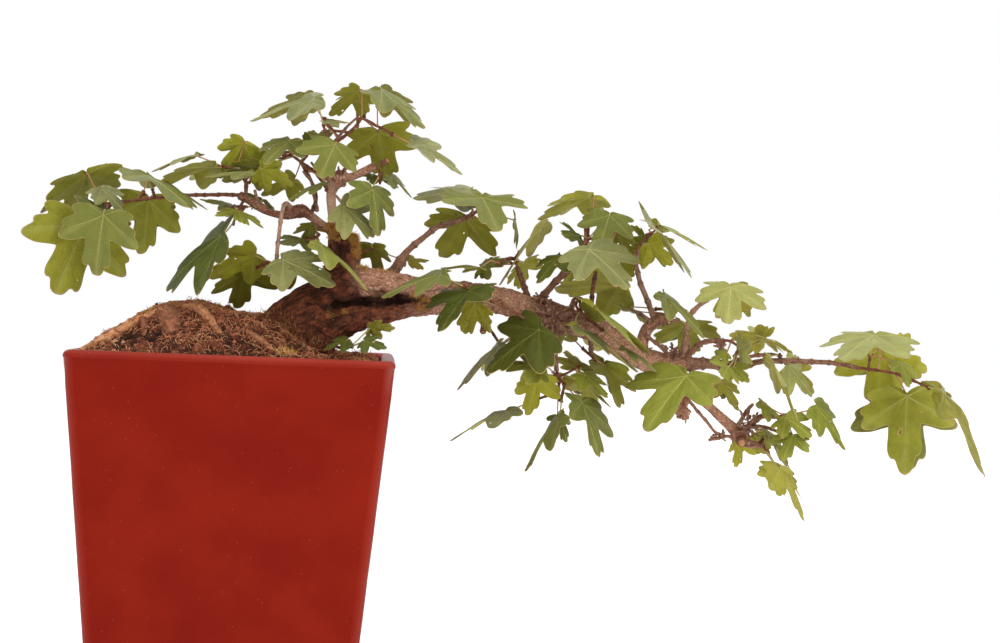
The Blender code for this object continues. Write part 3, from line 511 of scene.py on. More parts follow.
BARK_FINISHES = {
    "trunk": BarkFinish("bark_trunk"),
    "bough": BarkFinish(
        "bark_bough", (0.10, 0.032, 0.016), (0.24, 0.083, 0.04), (0.40, 0.18, 0.10), (0.24, 0.10, 0.055),
        (0.54, 0.30, 0.20), (0.84, 0.60, 0.46), width=0.8,
    ),
    "twig": BarkFinish(
        "bark_twig", (0.12, 0.034, 0.014), (0.27, 0.083, 0.033), (0.38, 0.15, 0.07), (0.22, 0.08, 0.04),
        (0.46, 0.21, 0.12), (0.66, 0.40, 0.28), width=0.9,
    ),
    "root": BarkFinish(
        "bark_root", (0.09, 0.025, 0.012), (0.37, 0.115, 0.055), (0.56, 0.24, 0.13), (0.26, 0.075, 0.03),
        (0.74, 0.32, 0.14), (0.94, 0.60, 0.34), width=1.0,
    ),
}


@dataclass(frozen=True)
class EarthFinish:
    """Moist brown earth with lighter fibre and red-brown bark crumbs."""

    dark: Colour = (0.03, 0.009, 0.0045)
    brown: Colour = (0.19, 0.056, 0.026)
    pale: Colour = (0.42, 0.15, 0.07)

    def make(self) -> bpy.types.Material:
        """The material. The marks' X is painted shade in the earth's low places and pits."""
        shader = Shader("earth", 0.95, Specular_IOR_Level=0.2)
        broad = shader.spread(shader.noise(9.0, 5.0), 0.36, 0.62)
        fine = shader.spread(shader.noise(1.6, 4.0), 0.4, 0.68)
        ground = shader.mix(fine, shader.mix(broad, self.dark, self.brown), self.brown)
        ground = shader.mix(shader.spread(shader.noise(2.2, 4.0), 0.56, 0.68), ground, self.pale)
        shader.colour(shader.mix(shader.spread(shader.mark("X"), 0.0, 1.0), ground, self.dark))
        shader.relief(((fine, 0.8), (shader.noise(0.7, 3.0), 0.4)))
        return shader.material


@dataclass(frozen=True)
class GrainFinish:
    """A small thing's finish: two near colours in fine grain, such as moss, fibre, stalks or pebbles."""

    name: str
    first: Colour
    second: Colour
    size: float = 2.0
    roughness: float = 0.7

    def make(self) -> bpy.types.Material:
        """The material."""
        shader = Shader(self.name, self.roughness, Specular_IOR_Level=0.35)
        grain = shader.spread(shader.noise(self.size, 3.0), 0.35, 0.65)
        shader.colour(shader.mix(grain, self.first, self.second))
        shader.relief(((grain, 0.12),))
        return shader.material


class Tint(Enum):
    """The tints that the leaves are dealt, one for a whole leaf. SHADE is painted shade for leaves in the
    shade of others, DEEP partly so, and the greyness of GREY's upper side is partly a painted sheen.
    """

    GREY = "g"
    MID = "m"
    DEEP = "d"
    FRESH = "f"
    PALE = "p"
    SHADE = "s"


@dataclass(frozen=True)
class LeafFinish:
    """The two sides and the veins of a leaf of one tint. The underside's paler, yellower colour is partly its
    own and partly painted light that shines through the leaf.
    """

    upper: Colour
    under: Colour
    vein: Colour

    def side(self, name: str, colour: Colour, roughness: float) -> bpy.types.Material:
        """One side's material, in faint clouds, paler along the main veins and with the fine net in relief.

        The marks' X is the share of the way to the edge, Y the leaf's own tone and Z the nearness to a vein.
        """
        shader = Shader(name, roughness, Specular_IOR_Level=0.16)
        cloud = shader.spread(shader.noise(11.0, 4.0), 0.3, 0.7)
        warm = (colour[0] * 1.12, colour[1] * 1.05, colour[2] * 0.92)
        tone = shader.spread(shader.mark("Y"), 0.0, 1.0, 0.0, 0.7)
        toned = shader.mix(tone, shader.mix(cloud, scaled(colour, 0.74), scaled(colour, 1.16)), warm)
        near = shader.spread(shader.mark("Z"), 0.8, 1.0, 0.0, 0.22)
        shader.colour(shader.mix(near, toned, self.vein))
        net = shader.spread(shader.cells(2.4, "DISTANCE_TO_EDGE"), 0.0, 0.16)
        shader.relief(((net, 0.16), (shader.noise(6.5, 2.0), 1.1)))
        return shader.material

    def make(self, tint: Tint) -> list[bpy.types.Material]:
        """The upper side, the underside, the main veins and the side veins."""
        name = tint.name.lower()
        faint = tuple(sum(values) / 3 for values in zip(self.upper, self.under, self.vein))
        return [
            self.side(f"leaf_upper_{name}", self.upper, 0.48),
            self.side(f"leaf_under_{name}", self.under, 0.62),
            GrainFinish(f"vein_{name}", self.vein, scaled(self.vein, 0.88), 4.0, 0.6).make(),
            GrainFinish(f"side_vein_{name}", faint, scaled(faint, 0.9), 4.0, 0.6).make(),
        ]


# Undersides partly hold painted light shining through; SHADE and in part DEEP are painted shade
LEAF_FINISHES = {
    Tint.GREY: LeafFinish((0.225, 0.235, 0.08), (0.33, 0.31, 0.048), (0.50, 0.48, 0.21)),
    Tint.MID: LeafFinish((0.162, 0.178, 0.034), (0.248, 0.247, 0.024), (0.44, 0.42, 0.13)),
    Tint.DEEP: LeafFinish((0.09, 0.108, 0.015), (0.195, 0.195, 0.017), (0.26, 0.26, 0.07)),
    Tint.FRESH: LeafFinish((0.24, 0.262, 0.036), (0.352, 0.348, 0.033), (0.55, 0.52, 0.13)),
    Tint.PALE: LeafFinish((0.33, 0.345, 0.10), (0.40, 0.37, 0.05), (0.62, 0.58, 0.22)),
    Tint.SHADE: LeafFinish((0.074, 0.084, 0.010), (0.13, 0.135, 0.011), (0.20, 0.20, 0.03)),
}


@dataclass(frozen=True)
class Pot:
    """The tall square pot: sizes as in its solid, with a finer lip and faint unevenness of the hand.

    The thinness of the glaze and its painted highlight by the lip on the right-hand corners are shares from 0
    to 1, and `edge_width` is how wide a band of thin glaze runs down each edge. `lip_band` says how far below
    the rim the uneven band by the lip lies, and how wide it is.
    """

    height: float = 260.0
    rim_half: float = 100.0
    base_half: float = 77.0
    wall: float = 9.0
    floor: float = 11.0
    corner: float = 7.0
    lip: float = 3.6
    chamfer: float = 1.5
    drain_radius: float = 7.0
    drain_place: float = 34.0
    straight_steps: int = 26
    corner_steps: int = 8
    drain_steps: int = 5
    middle_steps: int = 13
    outside_rows: int = 30
    lip_rows: int = 15
    inside_rows: int = 10
    wave_size: float = 34.0
    wave_depth: float = 0.25
    lip_wave_depth: float = 0.4
    edge_width: float = 7.0
    edge_thinness: float = 0.35
    # strength of the painted highlight by the lip on the right-hand corners
    edge_glint: float = 0.2
    inside_thinness: float = 0.2
    foot_band: float = 2.0
    lip_band: tuple[float, float] = (8.0, 6.0)

    def half(self, height: Array | float) -> Array | float:
        """Outer half width at a height: it grows evenly from the base to the rim."""
        return self.base_half + (self.rim_half - self.base_half) * height / self.height

    def ring(self) -> tuple[Array, Array]:
        """Directions of a square ring with round corners.

        A point of the ring is (half - corner) * flat + corner * round: flat runs evenly along the four
        sides from -1 to 1 and stays at a corner, where round turns through a quarter.

        Returns:
            The flat and the round parts, as (n, 2) each.
        """
        flat, turn = [], []
        for quarter in range(4):
            angle = math.pi / 2 * quarter
            face = np.array((math.cos(angle), math.sin(angle)))
            left = np.array((-face[1], face[0]))
            share = np.linspace(-1, 1, self.straight_steps, endpoint=False)[:, None]
            flat.append(face + left * share)
            turn.append(np.repeat(face[None], self.straight_steps, axis=0))
            bend = np.linspace(0, math.pi / 2, self.corner_steps, endpoint=False) + angle
            flat.append(np.repeat((face + left)[None], self.corner_steps, axis=0))
            turn.append(np.stack((np.cos(bend), np.sin(bend)), 1))
        return np.vstack(flat), np.vstack(turn)

    def profile(self) -> Array:
        """The wall's section from the foot up the outside, over the lip and down the inside to the floor.

        Returns:
            Rows of (half width, height, thinness of the glaze).
        """
        rows = [(self.half(0) - self.chamfer, 0.0, 0.5), (self.half(0), self.chamfer, 0.7)]
        for height in np.linspace(self.chamfer + 3, self.height - self.lip * 1.3, self.outside_rows):
            rows.append((self.half(height), height, 0.0))
        top = self.half(self.height) - self.lip
        for angle in np.linspace(-0.25, math.pi, self.lip_rows):
            reach = self.lip if angle <= math.pi / 2 else self.wall - self.lip
            height = self.height - self.lip * (1 - math.sin(max(angle, 0.0))) + min(angle, 0.0) * self.lip
            rows.append((top + reach * math.cos(angle), height, 0.2 + 0.8 * max(math.sin(angle), 0.0)))
        for height in np.linspace(self.height - 12, self.floor + 2, self.inside_rows):
            rows.append((self.half(height) - self.wall, height, self.inside_thinness))
        rows.append((self.half(self.floor) - self.wall - self.chamfer, self.floor, self.inside_thinness))
        return np.array(rows)

    @staticmethod
    def run(chosen: Array) -> Array:
        """Numbers of the chosen points of a closed ring, as one unbroken run."""
        numbers = np.where(chosen)[0]
        breaks = np.where(np.diff(numbers) > 1)[0]
        return np.roll(numbers, -(breaks[0] + 1)) if len(breaks) else numbers

    def plate(self, ring: Array, upwards: bool) -> tuple[Array, Array, list[Array]]:
        """A flat plate inside a ring, in two halves that each close on a drain hole.

        A half's border is its part of the ring and the middle line. Each border point runs straight to the
        point at its own angle on the hole's circle: border + (circle - border) * t.

        Args:
            ring: The ring's points, as (n, 3), which the faces know as 0 to n - 1.
            upwards: Which way the plate faces.

        Returns:
            The new points, the faces, and the numbers of the points round each hole.
        """
        right, left = self.run(ring[:, 0] > TINY), self.run(ring[:, 0] <= TINY)
        first, last = left[0], left[-1]
        middle = ring[first] + (ring[last] - ring[first]) * np.linspace(0, 1, self.middle_steps + 1)[:, None]
        inner = len(ring) + np.arange(len(middle) - 2)
        start = len(ring) + len(inner)
        points, faces, holes = [middle[1:-1]], [], []
        for side, border, ids in (
            (1, np.vstack((ring[right], middle)), np.concatenate((right, [first], inner, [last]))),
            (-1, np.vstack((ring[left], middle[-2:0:-1])), np.concatenate((left, inner[::-1]))),
        ):
            centre = np.array((side * self.drain_place, 0.0, ring[0, 2]))
            away = border - centre
            circle = centre + away / np.linalg.norm(away, axis=1)[:, None] * self.drain_radius
            rows = [ids]
            for t in np.linspace(0, 1, self.drain_steps + 1)[1:]:
                points.append(border + (circle - border) * t)
                rows.append(start + np.arange(len(ids)))
                start += len(ids)
            rows = np.array(rows)
            after = np.roll(rows, -1, axis=1)
            strip = np.stack((rows[:-1], after[:-1], after[1:], rows[1:]), -1).reshape(-1, 4)
            faces.append(strip if upwards else strip[:, ::-1])
            holes.append(rows[-1])
        return np.vstack(points), np.vstack(faces), holes

    def walls(self) -> tuple[Array, Array]:
        """The rings of the wall with the unevenness of the hand, and the marks of their glaze.

        A ring's half width is drawn in by wave_depth * |wave|, and near the lip by lip_wave_depth * |wave|
        more. The inside and the foot stay even.

        Returns:
            The points and the marks, as (rings, points of a ring, 3) each.
        """
        flat, turn = self.ring()
        half, height, thin = self.profile().T
        corner = np.minimum(self.corner, half)[:, None, None]
        plan = (half[:, None, None] - corner) * flat + corner * turn
        rings = np.concatenate((plan, np.broadcast_to(height[:, None, None], (*plan.shape[:2], 1))), axis=2)
        wave = lattice_noise(rings.reshape(-1, 3) * (1, 1, 2.2), self.wave_size, 5).reshape(len(half), -1)
        below, width = self.lip_band
        near_lip = np.exp(-(((height - self.height + below) / width) ** 2))[:, None]
        inset = self.wave_depth * np.abs(wave) + self.lip_wave_depth * near_lip * np.abs(wave)
        outside = np.arange(len(half)) < len(half) - self.inside_rows - 1
        uneven = outside[:, None] * (height > self.foot_band)[:, None]
        rings[..., :2] *= 1 - (inset * uneven / np.maximum(half[:, None], 1))[..., None]
        edges = np.clip(1 - np.abs(np.abs(rings[..., 0]) - np.abs(rings[..., 1])) / self.edge_width, 0, 1)
        thinness = np.maximum(thin[:, None] * (0.75 + 0.3 * wave), self.edge_thinness * edges)
        # Painted highlight: paler glaze by the lip on the corners of the right-hand side
        glint = near_lip * edges * (rings[..., 0] > 0) * self.edge_glint
        return rings, np.stack((thinness, glint, np.zeros_like(glint)), 2)

    def build(self) -> bpy.types.Object:
        """The whole pot as one closed mesh."""
        rings, glaze = self.walls()
        rows, count = rings.shape[:2]
        points, marks = [rings.reshape(-1, 3)], [glaze.reshape(-1, 3)]
        i, j = (grid.ravel() for grid in np.mgrid[0 : rows - 1, 0:count])
        low, after = i * count + j, i * count + (j + 1) % count
        faces = [np.stack((low, after, after + count, low + count), 1)]
        holes, start = [], rows * count
        for ring_row, upwards in ((0, False), (rows - 1, True)):
            more, strip, found = self.plate(rings[ring_row], upwards)
            points.append(more)
            marks.append(np.tile((self.inside_thinness, 0.0, 0.0), (len(more), 1)))
            faces.append(np.where(strip < count, strip + ring_row * count, strip - count + start))
            holes.append([ids - count + start for ids in found])
            start += len(more)
        for below, above in zip(*holes):
            faces.append(np.stack((np.roll(below, -1), below, above, np.roll(above, -1)), 1))
        pile = Pile()
        pile.add(np.vstack(points), np.vstack(faces), 0, np.vstack(marks))
        return pile.build("pot_shell", [GlazeFinish().make()], ["pot"], "red_glaze")


@dataclass(frozen=True)
class Mound:
    """The earth in the pot: a low mound to the left, with fibre, crumbs, pebbles and moss on it."""

    crest: Route = (
        (-100, 259), (-86, 270), (-57, 286), (-30, 292.5), (4, 286), (24, 280), (52, 262), (100, 257),
    )
    edge: float = 256.0
    fall: float = 1.9
    floor: float = 11.3
    cells: int = 150
    fade: float = 6.0
    pit_depth: float = 3.0
    pits: Route = ((-59, -62, 6), (-66, -57, 5), (-51, -70, 5), (-70, -68, 4), (-48, -60, 4), (-60, -74, 4))
    stones: Route = (
        (-84, -52, 2.6), (-79, -58, 3.0), (-74, -62, 2.6), (-88, -44, 2.4), (-68, -66, 2.0), (-81, -64, 2.2),
        (-90, -60, 2.2),
    )
    fibres: int = 6400
    crumbs: int = 2400
    fibre_shares: tuple[float, ...] = (0.5, 0.44, 0.06)
    crumb_shares: tuple[float, ...] = (0.5, 0.48, 0.02)
    seed: int = 51

    def pit_share(self, x: Array, y: Array) -> Array:
        """How deep in a pit each place lies: the largest exp(-(distance / width)^2) of all pits."""
        shares = [np.exp(-(((x - at_x) ** 2 + (y - at_y) ** 2) / wide**2)) for at_x, at_y, wide in self.pits]
        return np.max(shares, axis=0)

    def height(self, x: Array, y: Array) -> Array:
        """Height of the mound: edge + (crest(x) - edge) * (1 - |y / half|^fall)."""
        crest_x, crest_z = zip(*self.crest)
        half = POT.half(self.edge) - POT.wall
        crest = np.interp(x, crest_x, crest_z)
        return self.edge + (crest - self.edge) * np.clip(1 - np.abs(y / half) ** self.fall, 0, 1)

    def surface(self, x: Array, y: Array) -> Array:
        """The mound with its earth: height + noise + a slanting ridge - pits, fading at the pot's wall."""
        places = np.stack((x, y, np.zeros_like(x)), -1).reshape(-1, 3)
        rough = 2.0 * rough_noise(places, 19.0, 3, 3) + 1.2 * rough_noise(places, 5.0, 3, 9) - 0.6
        half = POT.half(self.edge) - POT.wall
        inside = np.clip((half - np.maximum(np.abs(x), np.abs(y))) / self.fade, 0, 1)
        ridge = 1.6 * np.exp(-(((y + 24 + 0.5 * (x + 42)) / 4.0) ** 2)) * np.exp(-(((x + 46) / 22) ** 2))
        rise = rough.reshape(x.shape) + ridge - self.pit_depth * self.pit_share(x, y)
        return self.height(x, y) + rise * inside - 1.0 * (1 - inside)

    def top(self, half: float) -> Array:
        """The surface as a square grid of points, whose corners are drawn in where the wall is round."""
        axis = np.linspace(-1, 1, self.cells + 1)
        u, v = np.meshgrid(axis, axis, indexing="ij")
        distance = np.maximum(np.abs(u), np.abs(v))
        pull = 1 - 0.045 * distance**6 * (np.minimum(np.abs(u), np.abs(v)) / np.maximum(distance, TINY)) ** 10
        x, y = u * half * pull, v * half * pull
        return np.stack((x, y, self.surface(x, y)), -1)

    def build_ground(self, earth: bpy.types.Material) -> bpy.types.Object:
        """The filling as a closed block whose top is a grid of the surface."""
        half = POT.half(self.edge - 2.0) - POT.wall - GAP
        low_half = POT.half(self.floor) - POT.wall - GAP - 1.0
        top = self.top(half).reshape(-1, 3)
        start = len(top)
        index = np.arange(start).reshape(self.cells + 1, self.cells + 1)
        cells = np.stack((index[:-1, :-1], index[1:, :-1], index[1:, 1:], index[:-1, 1:]), -1)
        border = np.concatenate((index[:-1, 0], index[-1, :-1], index[:0:-1, -1], index[0, :0:-1]))
        rings, points, faces = [border], [top], [cells.reshape(-1, 4)]
        for share, height in ((1.0, self.edge - 3.0), (low_half / half, self.floor)):
            points.append(np.column_stack((top[border, :2] * share, np.full(len(border), height))))
            rings.append(start + np.arange(len(border)))
            start += len(border)
        faces += [band_between(low, high) for high, low in zip(rings, rings[1:])]
        points.append(np.array([(0.0, 0.0, self.floor)]))
        last = rings[-1]
        middle, none = np.full(len(last), start), np.full(len(last), -1)
        faces.append(np.stack((middle, np.roll(last, -1), last, none), 1))
        points = np.vstack(points)
        # Painted shade: the earth darkens where it lies below the smooth mound and in the pits
        pits = np.clip(0.15 + 0.5 * (self.height(points[:, 0], points[:, 1]) - points[:, 2]), 0, 0.8)
        pits = np.maximum(pits, 1.2 * self.pit_share(points[:, 0], points[:, 1]))
        pile = Pile()
        pile.add(points, np.vstack(faces), 0, np.stack((pits, 0 * pits, 0 * pits), 1))
        return pile.build("earth_mound", [earth], ["soil"], "soil")

    def scatter(self, count: int, chance: np.random.Generator, margin: float = 3.0) -> Array:
        """Random places on the surface, out of the pits and `margin` clear of the pot's wall."""
        half = POT.half(self.edge) - POT.wall - margin
        x, y = chance.uniform(-half, half, (2, 2 * count))
        kept = np.argsort(self.pit_share(x, y) > 0.3, kind="stable")[:count]
        x, y = x[kept], y[kept]
        return np.column_stack((x, y, self.surface(x, y)))

    def fibre_paths(self, chance: np.random.Generator) -> Array:
        """Curls that lie on the earth, crowded where a noise is high.

        A fibre is start + t * length * direction, with a bow t * (1 - t) across and above it.

        Args:
            chance: Source of chance.

        Returns:
            Points in mm, as (fibres, 5, 3).
        """
        start = self.scatter(self.fibres, chance)
        crowd = lattice_noise(start, 13.0, 5) + 0.5 * lattice_noise(start, 5.0, 6)
        start = np.where((crowd > -0.25)[:, None], start, self.scatter(self.fibres, chance))
        turn = chance.uniform(0, math.tau, self.fibres)
        length = chance.gamma(2.6, 1.3, self.fibres) + 1.2
        bow = chance.normal(0, 0.32, self.fibres) * length
        t = np.linspace(-0.5, 0.5, 5)
        hump = (0.25 - t**2)[None, :]
        ahead = np.stack((np.cos(turn), np.sin(turn)), 1)
        across = np.stack((-ahead[:, 1], ahead[:, 0]), 1)
        plan = start[:, None, :2] + ahead[:, None] * (t[None, :] * length[:, None])[..., None]
        plan = plan + across[:, None] * (hump * bow[:, None])[..., None] * 2.0
        limit = POT.half(self.edge) - POT.wall - 1.5
        plan = np.clip(plan, -limit, limit)
        arch = chance.gamma(1.2, 2.4, self.fibres)[:, None]
        rise = self.surface(plan[..., 0], plan[..., 1]) + 0.2 + hump * arch
        return np.concatenate((plan, rise[..., None]), axis=2)

    def build_fibre(self) -> bpy.types.Object:
        """Fibres and rootlets on the earth, in three tints."""
        chance = np.random.default_rng(self.seed)
        paths = self.fibre_paths(chance)
        thick = chance.uniform(0.09, 0.24, self.fibres)[:, None] * np.array((0.4, 1.0, 1.0, 0.9, 0.3))
        pile = Pile()
        kinds = chance.choice(len(self.fibre_shares), self.fibres, p=self.fibre_shares)
        for kind in range(len(self.fibre_shares)):
            chosen = kinds == kind
            pile.add(*tubes(paths[chosen], thick[chosen], 3), kind)
        finishes = (
            GrainFinish("fibre_brown", (0.30, 0.08, 0.034), (0.50, 0.16, 0.07), 3.0, 0.85),
            GrainFinish("fibre_tan", (0.62, 0.23, 0.10), (0.80, 0.37, 0.18), 3.0, 0.85),
            GrainFinish("fibre_straw", (0.80, 0.48, 0.21), (0.90, 0.64, 0.34), 3.0, 0.85),
        )
        return pile.build("earth_fibre", [finish.make() for finish in finishes], (), "soil")

    def build_crumbs(self) -> bpy.types.Object:
        """Crumbs of bark and earth, grit, and the paler pebbles at the left end."""
        chance = np.random.default_rng(self.seed + 1)
        pile = Pile()
        sizes = chance.gamma(2.0, 0.2, self.crumbs) + 0.3
        centres = self.scatter(self.crumbs, chance)
        kinds = chance.choice(len(self.crumb_shares), self.crumbs, p=self.crumb_shares)
        sizes = np.where(kinds == 2, sizes * 0.7, sizes)
        stones = np.array(self.stones)
        heights = self.surface(stones[:, 0], stones[:, 1])
        centres = np.vstack((centres, np.column_stack((stones[:, :2], heights + 0.3))))
        sizes = np.concatenate((sizes, stones[:, 2]))
        kinds = np.concatenate((kinds, np.full(len(stones), len(self.crumb_shares))))
        points, faces = lumps(centres, sizes, chance)
        pile.add(points, faces, np.repeat(kinds, len(faces) // len(kinds)))
        finishes = (
            GrainFinish("crumb_dark", (0.05, 0.02, 0.011), (0.10, 0.042, 0.022), 1.5, 0.95),
            GrainFinish("crumb_red", (0.28, 0.082, 0.038), (0.48, 0.165, 0.08), 1.5, 0.9),
            GrainFinish("grit_pale", (0.46, 0.33, 0.22), (0.60, 0.47, 0.36), 1.5, 0.8),
            GrainFinish("pebble", (0.40, 0.19, 0.095), (0.60, 0.34, 0.20), 3.0, 0.8),
        )
        return pile.build("earth_crumbs", [finish.make() for finish in finishes], (), "soil")


def lumps(centres: Array, sizes: Array, chance: np.random.Generator) -> tuple[Array, Array]:
    """Small uneven lumps: a ball of 3 rings of 6 points and two poles, each point pushed in or out.

    Args:
        centres: As (n, 3), in mm.
        sizes: Radii, as (n,).
        chance: Source of chance.

    Returns:
        Points and faces.
    """
    axis = unit(chance.normal(size=(len(sizes), 3)))
    along = np.array((-0.62, 0.0, 0.62))[None, :, None]
    paths = centres[:, None] + along * axis[:, None] * sizes[:, None, None]
    dents = chance.uniform(0.62, 1.15, (len(sizes), 3, 6))
    radii = sizes[:, None, None] * np.array((0.72, 1.0, 0.72))[None, :, None] * dents
    return tubes(paths, radii, 6, unit(chance.normal(size=(len(sizes), 3))))


def tufts(
    roots: Array, outwards: Array, lengths: Array, chance: np.random.Generator, bend: float = 0.45
) -> tuple[Array, Array]:
    """Thin pointed moss blades that bend out from their roots.

    A blade is root + (outwards * t + bend * t^2) * length, and its radius at t = 0, 0.5 and 1 is 0.13, 0.09
    and 0.02 of its length.

    Args:
        roots: As (n, 3).
        outwards: The way each grows.
        lengths: As (n,).
        chance: Source of chance.
        bend: How strongly the blades bend, in lengths.

    Returns:
        Points and faces.
    """
    bends = chance.normal(0, bend, roots.shape)
    t = np.array((0.0, 0.5, 1.0))[None, :, None]
    paths = roots[:, None] + (outwards[:, None] * t + bends[:, None] * t**2) * lengths[:, None, None]
    radii = lengths[:, None] * np.array((0.13, 0.09, 0.02))
    return tubes(paths, radii, 3)


SPINE = (
    (18, -2, 246, 30), (29, -2, 266, 26), (43, -2, 281, 23.5), (60, -1, 291, 21.5), (79, 0, 298, 18.5),
    (98, 0, 300.5, 15), (121, -1, 301, 12.2), (145, -2, 301.5, 10), (168, -2, 300, 8.8),
    (184, -1, 296, 9.4), (197, 0, 291.5, 11), (215, 0, 288.5, 8.6), (236, 1, 281, 8.2), (253, 1, 271, 7.8),
    (268, 1, 264.5, 7.6), (281, 0, 262, 7.4), (292, 0, 262, 8.2),
)
STUMP = (
    (61, 0, 296, 15), (62, 1, 311, 12.5), (64, 1, 325, 10.8), (62, 2, 336, 8.8), (61, 2, 340, 5.0),
)
FLARES = (
    ((34, -2, 272, 16), (20, -26, 263, 11), (12, -38, 254, 8)),
    ((34, 2, 272, 16), (22, 26, 263, 11), (14, 38, 254, 8)),
    ((44, -4, 274, 16), (50, -22, 263, 10), (54, -32, 254, 7)),
)
STRANDS = (
    (
        (38, -15, 262, 9), (52, -15, 273, 9), (64, -14.5, 281.5, 8), (78, -12.8, 285.2, 7),
        (90, -11.8, 287.6, 6.4), (102, -10.4, 290.3, 5.6), (115, -9, 293, 4.8), (128, -7.5, 295, 4.2),
        (146, -6, 296.5, 3),
    ),
    (
        (54, -13, 309, 6.5), (68, -13, 310.5, 7.2), (82, -12.6, 309.8, 7.8), (96, -11.5, 308.8, 7.5),
        (111, -9, 307.5, 6.3), (126, -7, 306.5, 5.2), (142, -6, 305, 4), (162, -5, 303, 2.6),
    ),
    ((34, -20, 264, 8), (42, -18, 278, 7.5), (50, -14, 292, 7), (56, -10, 306, 6), (58, -8, 322, 5)),
    ((24, 14, 264, 9), (42, 16, 282, 8), (62, 14, 298, 6.5), (84, 10, 306, 5), (112, 7, 306, 4)),
    ((16, -12, 262, 9), (24, -14, 274, 8), (36, -14, 288, 7), (50, -12, 299, 6), (64, -11, 307, 5)),
    ((70, 8, 300, 6), (68, 8, 316, 5), (66, 7, 330, 4)),
    ((72, -6, 304, 7), (69, -8, 314, 6.5), (66, -7, 325, 5.5), (65, -5, 335, 4)),
    (
        (150, -3, 307, 3.0), (170, -4, 305, 2.8), (190, -5, 299, 3.0), (212, -5, 294, 2.4),
        (236, -4, 286, 2.0),
    ),
    ((162, 4, 296, 3.2), (186, 6, 291, 3.4), (214, 5, 285, 2.6), (244, 4, 275, 2.2), (270, 3, 263, 2.2)),
)
# The cleft's middle line and half height, as (x, z, half height)
CLEFT = (
    (44, 299, 3.0), (54, 297.5, 6.0), (69, 295.2, 7.0), (82, 295.4, 6.0), (95, 296.8, 4.8), (106, 298, 3.6),
    (119, 299.2, 1.8),
)
CLEFT_DEPTH = 0.86
GROUND = 262.0  # level in the pot below which the skin of the wood stops
GRAIN_SHIFT = 97.0  # sets the grain of one bough off from that of the next, in mm


def spreads_away(points: Array, patch: Burl | MossPatch, more: float = 0.0) -> Array:
    """Distance of each point from the middle of a patch, counted in its spread, `more` mm wider."""
    return np.linalg.norm((points - patch.centre) / (np.array(patch.spread) + more), axis=1)


@dataclass(frozen=True)
class Burl:
    """A cluster of small lumps where the wood is gnarled."""

    centre: tuple[float, float, float]
    spread: tuple[float, float, float]
    count: int
    size: float


BURLS = (
    Burl((203, -9, 288), (10, 4, 9), 34, 3.2),
    Burl((158, -4, 284), (4, 3, 4), 7, 2.6),
    Burl((32, -4, 352.5), (6, 3, 3.6), 34, 2.7),
    Burl((57, -1, 376), (6, 3.5, 4.6), 34, 2.6),
    Burl((80, -5, 384), (3, 2, 2), 6, 1.8),
    Burl((290, 0, 263), (6, 4, 6), 16, 2.8),
    Burl((277, -1, 291), (4, 3, 4), 10, 2.0),
    Burl((333, -2, 215), (6, 4, 5), 26, 2.8),
    Burl((291, -8, 233), (4, 3.5, 6), 34, 3.2),
    Burl((101, -6, 323), (3, 2.5, 3), 7, 2.0),
    Burl((62, 2, 336), (7, 6, 4), 12, 3.0),
    Burl((191, -18, 282), (3, 2.5, 3), 7, 1.8),
    Burl((316, -4, 279), (2.5, 2, 2.5), 6, 1.5),
)


@dataclass(frozen=True)
class Limb:
    """A tapering bough by its knots (x, y, z, radius). One that is `thick` is part of the relief skin."""

    name: str
    knots: Route
    thick: bool = False
    # share of limb bark on a thin bough; above 1 a painted highlight
    pale: float = 0.75


